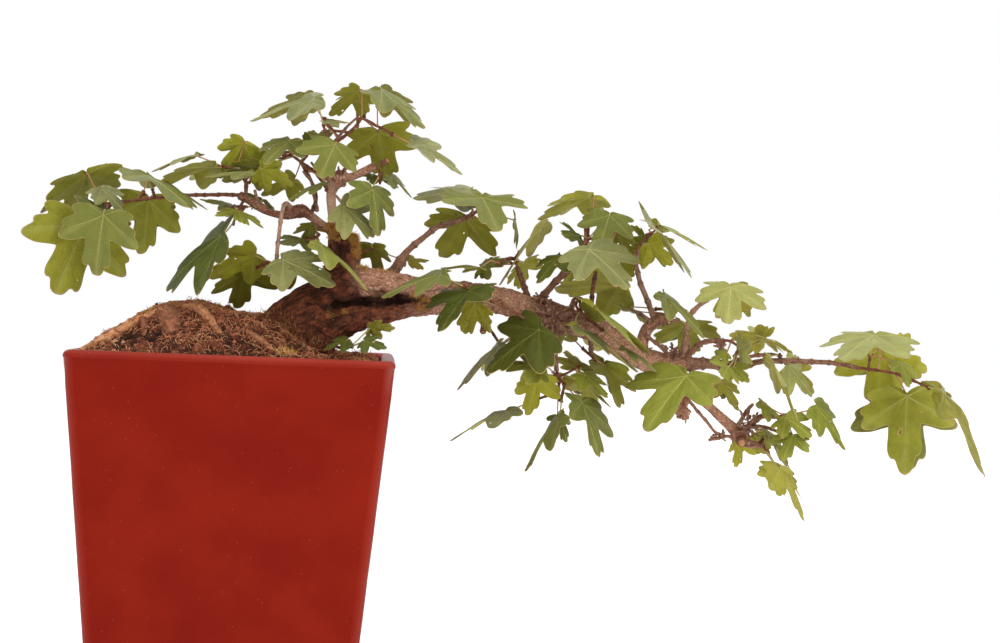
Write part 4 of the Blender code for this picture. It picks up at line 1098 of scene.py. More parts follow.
LIMBS = (
    Limb("leader", (
        (58, 0.5, 330, 3.9), (56, 0.3, 345, 3.4), (54.5, 0, 358, 3.2), (54, 0, 368, 3.6), (57, 0, 375, 5.6),
        (58, 0, 380, 3.4),
    ), True, 0.9),
    Limb("leader_stub", ((58, -1, 375, 3.2), (68, -3, 378, 2.7), (82, -6, 385, 2.9)), True, 0.7),
    Limb("left_bough", (
        (58, -1, 339, 3.2), (42, -3, 350, 3.0), (35, -3, 353.5, 5.0), (27, -3, 351.5, 4.2),
        (22, -3, 350.5, 2.9), (14, -3, 352, 2.6), (7.5, -2, 355.5, 3.5), (0, 0, 359.5, 2.6),
        (-6, 0, 362.5, 3.1),
    ), True, 0.7),
    Limb("hanging_twig", (
        (30, -4, 354, 1.6), (25, -9, 357.5, 1.5), (22.5, -12, 349, 1.3), (21.5, -13, 336, 1.25),
        (20.7, -13, 322, 1.2),
    ), False, 1.15),
    Limb("inner_twig", (
        (41, -2, 351, 1.6), (44, -1, 361, 1.2), (42, 0, 371, 1.1), (36, 0, 381, 1.0),
    ), False, 0.1),
    Limb("rising_twig_near", (
        (92, -2, 308, 4.2), (101, -7, 323, 3.2), (105, -8, 330, 2.2), (115, -8, 339, 1.9),
        (125, -8, 347, 1.8), (136, -8, 351, 1.9), (146, -8, 355.5, 1.5),
    ), False, 0.45),
    Limb("top_stub", ((187, -2, 302, 2.0), (178.5, -3, 322.5, 1.6)), False, 0.2),
    Limb("rising_twig_far", (
        (190, -4, 296, 2.5), (201.5, -11, 312, 2.2), (212, -16, 322.5, 2.1),
    ), False, 0.25),
    Limb("upright_twig", ((229, 0, 286, 1.7), (229, 0, 302, 1.5), (231, 0, 320, 1.3)), False, 0.15),
    Limb("knot_stub", ((198, -5, 291, 4.4), (191, -19, 281.5, 2.9)), True, 0.8),
    Limb("hanging_spur", ((202, -6, 288, 2.6), (204, -15, 276, 1.7), (206, -16, 255.5, 1.5)), False, 0.6),
    Limb("limb_spur", ((214, -3, 290, 3.6), (216, -10, 303, 1.4)), True, 0.6),
    Limb("under_spur", ((229, 3, 282, 2.2), (231, 7, 267, 1.4)), False, 0.5),
    Limb("stub_branch", (
        (263, 1, 267, 4.8), (266, 0, 283, 4.1), (272, 0, 289.5, 4.0), (278, -1, 293.5, 4.4),
    ), True, 0.6),
    Limb("thin_bough", (
        (272, 0, 290, 2.2), (267, 0, 304, 1.8), (262, 0, 314.5, 1.7), (258, 0, 329, 1.5),
        (258, 0, 337, 1.6),
    ), False, 0.7),
    Limb("fork_twig", (
        (292, 0, 263, 3.4), (293.5, 0, 275, 2.6), (294, 0, 288, 1.7), (298, 0, 299, 1.6),
        (314, 0, 312, 1.5),
    ), False, 0.85),
    Limb("short_twig", ((293, -3, 266, 2.2), (303, -4, 277, 1.6), (318, -4, 279.5, 1.7)), False, 0.3),
    Limb("end_branch", (
        (290, 0, 262, 5.2), (303, 0, 263.5, 3.9), (319, 0, 263.5, 2.9), (334, 0, 263.5, 2.2),
        (348, 0, 266.7, 1.9), (371, 0, 267.5, 1.8), (393, 0, 267.2, 1.6), (411, 0, 264.5, 1.5),
    ), False, 0.5),
    Limb("second_twig", ((322, -1, 264, 1.7), (334, -5, 269, 1.3), (351, -5, 271.6, 1.2)), False, 0.4),
    Limb("lower_branch", (
        (283, 0, 260, 4.6), (304, 0, 241, 3.5), (319, 0, 228, 3.4), (330, 0, 219, 4.2), (334, -1, 214, 5.0),
    ), True, 0.9),
    Limb("lower_twig", ((333, -2, 218, 2.4), (345, -3, 229, 1.9), (357, -4, 230, 1.5)), False, 0.3),
    Limb("drop_twig", ((334, -3, 214, 2.0), (347, -5, 209.5, 1.4)), False, 0.3),
    Limb("hanging_knob", ((288, -3, 258, 4.0), (291, -7, 243, 3.2), (291, -8, 232, 4.6)), True, 0.3),
    Limb("surface_root", (
        (20, -8, 284, 1.6), (-8, -14, 285.5, 1.7), (-34, -12, 290.5, 2.0), (-57, -6, 285.5, 2.2),
        (-80, -8, 272, 1.8), (-89, -9, 266, 1.5),
    ), False, 0.5),
)

# Small spurs and dead twigs that have no solid of their own
SPURS = (
    ((203, -9, 288, 3.0), (209, -17, 291, 2.4), (214, -22, 294, 2.1)),
    ((202, -10, 289, 2.8), (206, -19, 286, 2.2), (211, -23, 283, 2.0)),
    ((200, -9, 291, 2.6), (199, -18, 296, 2.0)),
    ((330, -5, 222.8, 1.9), (333.3, -5, 229.6, 1.3), (336.5, -5, 234.4, 1.4), (339.7, -5, 237.9, 1.0)),
    ((334.9, -4, 222.3, 1.8), (345.1, -4, 223.3, 1.2), (351.2, -4, 222.2, 1.2), (357.4, -4, 219.8, 0.9)),
    ((328.5, -3, 214.7, 1.6), (323, -4, 215.9, 1.1), (317, -4, 214.3, 1.2), (311, -4, 212.8, 0.9)),
    ((332, -4, 212.2, 1.6), (336.8, -5, 209.7, 1.2), (342.2, -5, 209.9, 1.2), (347, -5, 209.4, 0.9)),
    (
        (294.4, -6, 240.2, 1.3), (300, -5, 234.4, 1.1), (308.5, -4, 225.4, 1.0), (314.9, -4, 218.3, 1.0),
        (321, -4, 215.8, 1.1),
    ),
    ((271.6, -2, 289.3, 1.7), (267.5, -4, 291.2, 1.3), (261.3, -4, 294.9, 1.2), (255.1, -4, 298, 0.8)),
    ((265.1, -5, 281.1, 1.6), (272.1, -5, 276.7, 1.2), (278.4, -5, 271.6, 1.3), (284, -4, 266, 1.2)),
    ((45.2, -1, 354, 1.5), (43.4, -1, 362, 1.1), (40.6, -2, 373, 1.0), (35, -3, 379.8, 0.8)),
    ((47, 0, 375.8, 1.3), (44, -1, 381, 1.0), (40, -2, 386, 0.8)),
    ((57, -1, 376, 1.5), (47, 0, 375.8, 1.4)),
    ((6.7, -2, 355.6, 1.4), (4, -3, 366, 0.9)),
    ((54.5, 0, 400.4, 1.0), (62, 0, 409.9, 0.9), (69.5, 0, 417.5, 0.7)),
    ((278, -2, 292, 1.6), (284, -3, 291.5, 1.3), (288, -4, 292, 1.5)),
    ((318, -4, 279, 1.6), (316.5, -4, 273, 1.4), (313, -3, 266, 1.2)),
    ((196, -8, 302, 1.4), (203, -9, 300, 1.0), (211, -9, 297, 1.0), (220, -8, 293, 0.8)),
)


def grain_of(points: Array, routes: Sequence[Array]) -> Array:
    """Each point's place on the wood, as (distance along, girth * cos(angle), girth * sin(angle)).

    The route that counts is the one with the least distance from its centre line less its radius, and the
    angle is the turn about that line.

    Args:
        points: Points of the wood.
        routes: Centre lines with radii.

    Returns:
        As (n, 3), in mm.
    """
    best, grain = np.full(len(points), np.inf), np.zeros((len(points), 3))
    for number, route in enumerate(routes):
        centres, radii = route[:, :3], route[:, 3]
        along, side, up = (axes[0] for axes in carried_axes(centres[None]))
        steps = np.linalg.norm(np.diff(centres, axis=0), axis=1)
        travelled = np.concatenate(([0], np.cumsum(steps)))
        reach = radii.max() + 6
        low, high = centres.min(axis=0) - reach, centres.max(axis=0) + reach
        near = np.where(np.all((points > low) & (points < high), axis=1))[0]
        if not len(near):
            continue
        gaps = np.linalg.norm(points[near][:, None] - centres[None], axis=2) - radii
        pick = gaps.argmin(axis=1)
        gap = gaps[np.arange(len(near)), pick]
        better = gap < best[near]
        near, pick = near[better], pick[better]
        best[near] = gap[better]
        offset = points[near] - centres[pick]
        turn = np.arctan2(np.sum(offset * up[pick], axis=1), np.sum(offset * side[pick], axis=1))
        place = travelled[pick] + np.sum(offset * along[pick], axis=1) + GRAIN_SHIFT * number
        girth = radii[pick]
        grain[near] = np.stack((place, girth * np.cos(turn), girth * np.sin(turn)), 1)
    return grain


# Old roots that lie in the earth, as (x, y, height above the earth, radius), and how far they have limb bark
ROOTS = (
    ((
        (-94, -66, 0.2, 1.6), (-81, -58, 1.2, 2.5), (-67, -46, 1.6, 2.9), (-53, -35, 1.4, 2.5),
        (-44, -27, 0.0, 1.6),
    ), 1.0),
    (((-66, -36, -1.5, 2.0), (-60, -43, -0.4, 2.8), (-57, -51, -1.2, 2.6), (-56, -58, -3.0, 2.0)), 0.1),
    (((-52, -30, -2.5, 4.0), (-45, -41, -1.6, 6.4), (-40, -53, -2.4, 6.2), (-38, -66, -6.0, 4.4)), 0.25),
    (((-36, -28, 0.0, 2.4), (-27, -38, 1.4, 3.0), (-19, -47, 1.0, 2.9), (-10, -57, -1.5, 2.2)), 0.6),
    (((6, -52, -0.5, 1.4), (14, -60, 0.5, 1.8), (24, -68, -0.5, 1.5)), 0.5),
)
# Clusters of bud spurs, as (middle, spread, count, length)
CLUSTERS = (
    ((284, -5, 270), (6, 4, 4), 30, 4.5), ((316, -4, 273.5), (1.5, 1.5, 4.5), 16, 3.5),
    ((337, -5, 223), (5, 4, 8), 40, 4.5), ((318, -5, 215.5), (4, 2, 2), 12, 3.5),
    ((291, -9, 232), (3.5, 3, 5), 26, 4.0), ((204, -14, 288), (11, 5, 9), 64, 6.5),
    ((57, -2, 378), (5, 4, 4), 18, 3.5), ((33, -4, 354), (4, 3, 3), 18, 3.0),
    ((278, -2, 292), (4, 3, 4), 18, 4.0), ((101, -8, 324), (3, 3, 3), 10, 3.0),
    ((264, -2, 270), (5, 4, 4), 16, 3.5), ((196, -10, 302), (4, 3, 3), 12, 4.0),
    ((7, -3, 356), (3, 2, 2), 8, 2.5), ((146, -9, 356), (2, 2, 2), 6, 2.5),
)
# Pruned stubs, as (foot, cut end, radius)
CUTS = (
    ((332.5, -1, 214), (331.8, -10.5, 212.4), 3.3), ((86, -6, 386.5), (89.5, -9, 388.5), 2.1),
    ((158, -4, 284), (157, -9, 279), 2.2),
)


@dataclass(frozen=True)
class Skin:
    """The relief of the bark on the thick wood, as one voxel skin with its marks."""

    voxel: float = 0.78
    sides: int = 56
    thin_sides: int = 18
    step: float = 2.0
    smoothing: int = 2
    smooth_share: float = 0.6
    seed: int = 7

    def cleft_at(self, points: Array, waver: float) -> tuple[Array, Array]:
        """The cleft's middle height and its half height at each point, the half wavering with the noise."""
        run, middle, half = np.array(CLEFT, float).T
        own = np.interp(points[:, 0], run, half) * (1 + waver * lattice_noise(points, 7.0, 31))
        return np.interp(points[:, 0], run, middle), own

    def cleft_share(self, points: Array) -> Array:
        """Share of the spine's radius that the cleft leaves.

        It is 1 - depth * sin(pi * t)^0.5 * exp(-((z - middle) / half)^4) on the front, t being the share of
        the way along the cleft.
        """
        x, y, z = points.T
        middle, half = self.cleft_at(points, 0.4)
        t = np.clip((x - CLEFT[0][0]) / (CLEFT[-1][0] - CLEFT[0][0]), 0, 1)
        band = np.exp(-(((z - middle) / half) ** 4))
        return 1 - CLEFT_DEPTH * np.sin(math.pi * t) ** 0.5 * band * (y < -1)

    def routes(self) -> list[Array]:
        """Centre lines of everything thick: spine, stump, flares, strands and boughs."""
        rows = [SPINE, STUMP, *FLARES, *STRANDS, *(limb.knots for limb in LIMBS if limb.thick)]
        return [smooth_path(row, self.step) for row in rows]

    def parts(self) -> list[tuple[Array, Array]]:
        """Every closed shape that goes into the skin. What is in the pot stops at the ground."""
        chance = np.random.default_rng(self.seed)
        spine, *others = self.routes()
        points, faces = tubes(spine[None, :, :3], spine[None, :, 3], self.sides)
        centres = np.vstack((np.repeat(spine[:, :3], self.sides, axis=0), spine[[0, -1], :3]))
        made = [(centres + (points - centres) * self.cleft_share(points)[:, None], faces)]
        made += [tubes(route[None, :, :3], route[None, :, 3], self.thin_sides) for route in others]
        for burl in BURLS:
            spread = np.clip(chance.normal(size=(burl.count, 3)), -1.3, 1.3) * np.array(burl.spread) * 0.7
            sizes = burl.size * chance.uniform(0.5, 1.1, burl.count)
            made.append(lumps(np.array(burl.centre) + spread, sizes, chance))
        for points, _ in made:
            self.stop_at(points, GROUND)
        return made

    @staticmethod
    def stop_at(points: Array, level: float) -> None:
        """Lifts what is in the pot and below the level up to it."""
        points[:, 2] = np.where(points[:, 0] < POT.rim_half, np.maximum(points[:, 2], level), points[:, 2])

    def fused(self) -> tuple[Array, Array]:
        """Points in mm and square faces of one closed voxel skin round all the parts."""
        pile = Pile()
        for points, faces in self.parts():
            pile.add(points, faces)
        rough = bpy.data.objects.new("rough_wood", pile.mesh("rough_wood"))
        bpy.context.scene.collection.objects.link(rough)
        remesh = rough.modifiers.new("skin", "REMESH")
        remesh.mode = "VOXEL"
        remesh.voxel_size = self.voxel * MM
        graph = bpy.context.evaluated_depsgraph_get()
        mesh = bpy.data.meshes.new_from_object(rough.evaluated_get(graph))
        points, corners = np.empty(len(mesh.vertices) * 3), np.empty(len(mesh.loops), np.int32)
        mesh.vertices.foreach_get("co", points)
        mesh.loops.foreach_get("vertex_index", corners)
        bpy.data.objects.remove(rough)
        bpy.data.meshes.remove(mesh)
        return points.reshape(-1, 3) / MM, corners.reshape(-1, 4)

    def smoothed(self, points: Array, faces: Array) -> Array:
        """The points, each moved a share of the way to its neighbours' mean a few times."""
        start, end = np.concatenate([faces[:, (i, (i + 1) % 4)] for i in range(4)]).T
        near = np.bincount(start, minlength=len(points))[:, None]
        for _ in range(self.smoothing):
            total = np.stack([np.bincount(start, points[end, i], len(points)) for i in range(3)], 1)
            points = points * (1 - self.smooth_share) + total / near * self.smooth_share
        return points

    def normals(self, points: Array, faces: Array) -> Array:
        """Each point's normal: the sum of its faces' cross products of diagonals, at length one."""
        cross = np.cross(points[faces[:, 2]] - points[faces[:, 0]], points[faces[:, 3]] - points[faces[:, 1]])
        total = [sum(np.bincount(faces[:, k], cross[:, i], len(points)) for k in range(4)) for i in range(3)]
        return unit(np.stack(total, 1))

    def limb_share(self, points: Array, normals: Array, patches: Array) -> Array:
        """How far each point has limb bark: 0 on the fibrous base, 1 on the limb, and above 1 a painted
        highlight.

        It is the largest of a ramp along x, one along z above the stump that a painted highlight lifts past 1
        round the leader, and two on the limb's upper side, of which the one that follows the surface's upward
        tilt is painted light; and it shrinks by up to 0.65 near a burl.

        Args:
            points: The smooth skin.
            normals: Its normals.
            patches: Broad noise, which makes the ramps uneven.

        Returns:
            One value for each point.
        """
        x, _, z = points.T
        limb = np.clip((x - 94 + 14 * patches) / 30, 0, 1)
        # Painted highlight: lifts the limb share past 1 round the leader
        leader_highlight = np.clip(0.9 + (x - 44) / 12, 0.5, 1.6) - 0.5 * np.clip((x - 60) / 5, 0, 1)
        limb = np.maximum(limb, np.clip((z - 340) / 8, 0, 1) * leader_highlight)
        # Painted light: paler limb bark where the surface faces up
        top = np.clip((normals[:, 2] + 0.05 + 0.3 * patches) / 0.5, 0, 1) * np.clip((z - 300) / 3, 0, 1)
        limb = np.maximum(limb, top * np.clip((x - 70) / 18, 0, 1) * np.clip((328 - z) / 8, 0, 1))
        upper = np.clip((z - 298.5 + 4 * patches) / 4, 0, 1) * np.clip((x - 66) / 14, 0, 1)
        limb = np.maximum(limb, upper * np.clip((325 - z) / 6, 0, 1))
        away = np.min([spreads_away(points, burl, burl.size) for burl in BURLS[1:]], axis=0)
        return limb * (1 - 0.65 * np.exp(-(away**2)))

    def reliefs(self, points: Array, grain: Array, patches: Array, flakes: Array) -> tuple[Array, Array]:
        """Height of the relief in mm on thick wood, if it were all base and if it were all limb.

        Fibrous ridges, 1 - 2 * |noise| of the grain drawn out along the wood, make the base, and finer
        wrinkles across the grain make the limb. Both have flakes, lumps and dents.

        Args:
            points: The smooth skin.
            grain: Its places along and round the wood.
            patches: Broad noise, which makes the ridges uneven.
            flakes: Fine noise.

        Returns:
            The height on the base and on the limb.
        """
        ridges = 1 - 2 * np.abs(rough_noise(grain * np.array((0.3, 1.0, 1.0)), 3.4, 3, 11))
        knobs = rough_noise(points, 6.5, 3, 16)
        wrinkles = rough_noise(grain * np.array((1.0, 0.3, 0.3)), 2.0, 3, 13)
        lumpy = rough_noise(points, 12.0, 2, 15)
        dents = np.clip(lattice_noise(points, 10.0, 14) - 0.35, 0, 1) * 2
        rugged = np.clip((points[:, 0] - 34) / 22, 0.4, 1)
        base = rugged * (0.5 * ridges * np.clip(0.6 + patches, 0, 1.4) + 0.55 * flakes + 1.0 * knobs)
        base = base + 1.2 * lumpy - 2.4 * dents * rugged - 0.4
        return base, 0.2 * wrinkles + 0.55 * flakes + 1.0 * lumpy - 1.2 * dents

    def carve(self, points: Array, normals: Array, grain: Array) -> tuple[Array, Array]:
        """Pushes the bark's relief into the skin and marks the painted shade of its hollows and its cleft,
        its limb bark and its moss.

        The relief of the base and that of the limb fade into each other by the share of limb bark, and
        both grow with the girth.

        Args:
            points: The smooth skin.
            normals: Its normals.
            grain: Its places along and round the wood.

        Returns:
            The carved points and their marks.
        """
        x, y, z = points.T
        patches = rough_noise(points, 9.0, 2, 21)
        flakes = rough_noise(points, 2.3, 3, 12)
        limb = self.limb_share(points, normals, patches)
        share = np.minimum(limb, 1)
        base, fine = self.reliefs(points, grain, patches, flakes)
        depth = np.clip((np.hypot(grain[:, 1], grain[:, 2]) - 1.5) / 8.0, 0.16, 1)
        lift = (base * (1 - share) + fine * share) * depth
        # Painted shade: a band along the cleft and the low places of the relief are darkened
        middle, half = self.cleft_at(points, 0.5)
        band = np.exp(-(((z - middle + 0.5) / half) ** 2)) * np.clip(0.95 + 0.6 * flakes, 0.2, 1)
        inner = np.clip((y + np.interp(x, (46, 116), (20, 11))) / 6.0, 0, 1) * (y < 4)
        cleft = band * inner * (x > CLEFT[0][0]) * (x < CLEFT[-1][0] + 3)
        crevice_shade = np.clip(-0.12 - 0.45 * lift / depth * (1 - 0.55 * share), 0, 0.75) + cleft
        clumps = lattice_noise(points, 5.0, 23) + 0.5 * lattice_noise(points, 2.2, 24)
        near = np.min([spreads_away(points, patch) for patch in MOSS], axis=0)
        moss = np.clip((1.3 * np.exp(-(near**2) / 1.6)) * (0.8 + clumps) - 0.25, 0, 1)
        carved = points + normals * lift[:, None]
        self.stop_at(carved, GROUND - 1)
        return carved, np.stack((np.clip(crevice_shade, 0, 1), limb, moss), 1)

    def build(self, bark: bpy.types.Material) -> bpy.types.Object:
        """The carved skin, standing for the trunk, the cascade limb and the thick boughs."""
        points, faces = self.fused()
        points = self.smoothed(points, faces)
        grain = grain_of(points, self.routes())
        points, marks = self.carve(points, self.normals(points, faces), grain)
        pile = Pile()
        pile.add(points, faces, 0, marks, grain)
        nodes = ["trunk", "limb_inner", "limb_outer", *(limb.name for limb in LIMBS if limb.thick)]
        return pile.build("trunk_and_limb", [bark], nodes)


@dataclass(frozen=True)
class Boughs:
    """The thin boughs, spurs and dead twigs, with bud rings, wrinkles and a swollen foot."""

    sides: int = 14
    step: float = 0.9
    ring_every: float = 10.5
    seed: int = 33
    root_seed: int = 70

    def shape(self, knots: Route, seed: int) -> tuple[Array, Array, Array, Array]:
        """One bough with its relief.

        The radius at s mm along it is r(s) * (1 + ring + wrinkle). A ring is 0.26 * exp(-(d / 0.8)^2) at a
        distance d from the nearest bud scar, and a wrinkle is noise on the surface.

        Args:
            knots: The bough's knots.
            seed: Which scars and wrinkles.

        Returns:
            Points, faces, each point's painted shade in the wrinkles' grooves together with its darker bud
            rings, and the grain.
        """
        chance = np.random.default_rng(self.seed + seed)
        path = smooth_path(knots, self.step)
        centres, radii = path[:, :3], path[:, 3]
        travelled = np.concatenate(([0], np.cumsum(np.linalg.norm(np.diff(centres, axis=0), axis=1))))
        scars = np.cumsum(chance.uniform(0.6, 1.4, 40) * self.ring_every)
        nearest = np.min(np.abs(travelled[:, None] - scars[None]), axis=1)
        ring = 0.26 * np.exp(-((nearest / 0.8) ** 2)) + 0.08 * np.exp(-((nearest / 2.2) ** 2))
        wobble = np.stack([lattice_noise(centres + 50 * i, 7.0, seed) for i in range(3)], 1)
        fade = np.minimum(1, np.minimum(travelled, travelled[-1] - travelled) / 4)[:, None]
        centres = centres + wobble * fade * np.minimum(0.45, 0.25 * radii)[:, None]
        angles = np.arange(self.sides) / self.sides * math.tau
        girth = radii[:, None]
        turned = (travelled[:, None], girth * np.cos(angles), girth * np.sin(angles))
        grain = np.stack(np.broadcast_arrays(*turned), -1).reshape(-1, 3) + np.array((seed * 31.0, 0, 0))
        wrinkle = rough_noise(grain * np.array((1.3, 2.0, 2.0)), 2.4, 3, seed).reshape(len(radii), self.sides)
        around = girth * (1 + ring[:, None] + 0.12 * wrinkle)
        points, faces = tubes(centres[None], around[None], self.sides)
        # Painted shade in the wrinkles' grooves, and darker bud rings
        shade = np.clip(0.08 - wrinkle * 0.4 + ring[:, None] * 0.8, 0, 0.6).ravel()
        ends = [0, -1]
        return points, faces, np.concatenate((shade, shade[ends])), np.concatenate((grain, grain[ends]))

    def add(self, pile: Pile, knots: Route, seed: int, limb: float, finish: int = 0) -> None:
        """Adds one bough to a pile, with `limb` telling how far its bark goes from fibre to limb bark."""
        points, faces, shade, grain = self.shape(knots, seed)
        marks = np.zeros((len(points), 3))
        marks[:, 0], marks[:, 1] = shade, limb
        pile.add(points, faces, finish, marks, grain)

    def add_clusters(self, pile: Pile) -> None:
        """Short spurs with a swollen end, which stand out of their cluster's middle in all directions."""
        chance = np.random.default_rng(self.seed)
        t = np.linspace(0, 1, 5)
        for middle, spread, count, length in CLUSTERS:
            foot = np.clip(chance.normal(size=(count, 3)), -1.4, 1.4) * np.array(spread) * 0.55
            away = unit(foot + chance.normal(0, 1.6, (count, 3)) + np.array((0, -0.8, 0)))
            reach = length * chance.uniform(0.5, 1.15, count)
            bend = chance.normal(0, 0.18, (count, 3))
            out = (away[:, None] * t[:, None] + bend[:, None] * t[:, None] ** 2) * reach[:, None, None]
            paths = middle + foot[:, None] + out
            radii = chance.uniform(0.45, 0.95, count)[:, None] * np.array((1.2, 0.85, 0.8, 1.15, 0.8))
            points, faces = tubes(paths, radii, 6)
            pile.add(points, faces, 0, np.tile((0.05, chance.uniform(0.2, 0.8), 0), (len(points), 1)))

    def add_cuts(self, pile: Pile) -> None:
        """Pruned stubs: a short barrel of bark and, on its end, a disc of cut wood."""
        for foot, end, radius in CUTS:
            path = np.linspace(foot, end, 5)
            points, faces = tubes(path[None], radius * np.array(((1.15, 1.0, 0.97, 1.04, 0.95),)), 14)
            pile.add(points, faces, 0, np.tile((0.1, 0.2, 0), (len(points), 1)))
            sight = unit(path[-1] - path[0])
            disc = path[-1] + sight * np.array((radius * 0.2, radius * 0.42))[:, None]
            pile.add(*tubes(disc[None], radius * np.array(((0.72, 0.62),)), 14), 1)

    def add_roots(self, pile: Pile) -> None:
        """The old roots, which keep to the surface of the earth."""
        for number, (row, limb) in enumerate(ROOTS):
            x, y, above, radius = np.array(row, float).T
            knots = np.column_stack((x, y, MOUND.surface(x, y) + above, radius))
            self.add(pile, knots, self.root_seed + number, limb, 2)

    def build(self, bark: bpy.types.Material) -> bpy.types.Object:
        """All of them as one piece, standing for their solids."""
        pile = Pile()
        self.add_clusters(pile)
        self.add_cuts(pile)
        self.add_roots(pile)
        thin = [limb for limb in LIMBS if not limb.thick]
        rows = [(limb.knots, limb.pale, 2 if limb.name == "surface_root" else 0) for limb in thin]
        rows += [(spur, 0.5, 0) for spur in SPURS]
        for number, (knots, pale, finish) in enumerate(rows):
            self.add(pile, knots, number, pale, finish)
        cut = GrainFinish("cut_wood", (0.34, 0.145, 0.06), (0.50, 0.26, 0.12), 1.2, 0.8).make()
        return pile.build("boughs", [bark, cut, BARKS["root"]], [limb.name for limb in thin])


# Outline of a leaf's right half, from the tip of the middle lobe to the notch, as (degrees, share of length)
LEAF_OUTLINE = (
    (0, 1.0), (3, 0.992), (5.8, 0.962), (7.8, 0.91), (9.6, 0.862), (11.6, 0.846), (14, 0.86), (17, 0.842),
    (19.6, 0.785), (21.6, 0.70), (23.6, 0.60), (27.5, 0.465), (31, 0.41), (36, 0.46), (41, 0.55),
    (47, 0.68), (53, 0.77), (58, 0.84), (62.5, 0.84), (66, 0.775), (69.5, 0.715), (73.5, 0.73),
    (77.5, 0.70), (80.5, 0.60), (83, 0.50), (86, 0.50), (89.5, 0.58), (94, 0.62), (100, 0.58), (108, 0.45),
    (118, 0.30), (132, 0.19), (153, 0.10), (180, 0.05),
)
SOLID_OUTLINE = (
    (0, 1.0), (17, 0.8), (33, 0.43), (48, 0.8), (62, 0.93), (78, 0.7), (98, 0.38), (118, 0.47), (180, 0.07),
)
BLADE_MIDDLE, BLADE_ARCH, BLADE_THICK = 0.2, 0.1, 1.0
STALK_RADIUS, TWIG_RADIUS, STEM_RADIUS = 0.62, 1.0, 1.3
STALK_REACH, KNEE, KNEE_FROM = 25.0, 2.2, 0.35
CLEAR_OF_BLADE, CLEAR_STEP, CLEAR_TRIES, NODE_TRIES, STEM_SIDES = 0.8, 4.0, 9, 4, 4
BOW_WAYS = (
    (0, 0, 0.2), (0, 0, -0.2), (0, -0.3, 0), (0, 0.3, 0), (0.3, 0, 0), (-0.3, 0, 0), (0, -0.6, 0.2),
    (0, 0.6, 0.2),
)
BOWS = (None, *(np.array(bow) for bow in BOW_WAYS))
FELLOW_SIZES, FELLOW_DEPTHS = (0.74, 0.92), (24, 58)  # as shares of the leaf's size, and in mm behind it
LEAF_SEEDS, STALK_SEEDS = 101, 7  # make the seeds of a mass's leaves and stalks from its own


@dataclass(frozen=True)
class Leaf:
    """A leaf by its heart, the reach of its middle lobe, its turn about that lobe and its tint.

    A roll of 0 shows the upper side to the front, and one of 180 the underside. The fold is the rise of
    the side lobes as a share of their distance from the midrib.
    """

    heart: tuple[float, ...]
    reach: tuple[float, ...]
    roll: float
    fold: float = -0.12
    tint: Tint = Tint.MID
    holes: tuple[tuple[float, int, float, bool], ...] = ()


@dataclass(frozen=True)
class Mass:
    """A mass of foliage: where it grows, its stem, its leaves, and the tints dealt to them in their order."""

    name: str
    on: str
    seed: int
    tints: str
    stem: Route
    leaves: tuple[Leaf, ...]
    stem_radius: float = STEM_RADIUS
    fellows: float = 0.5


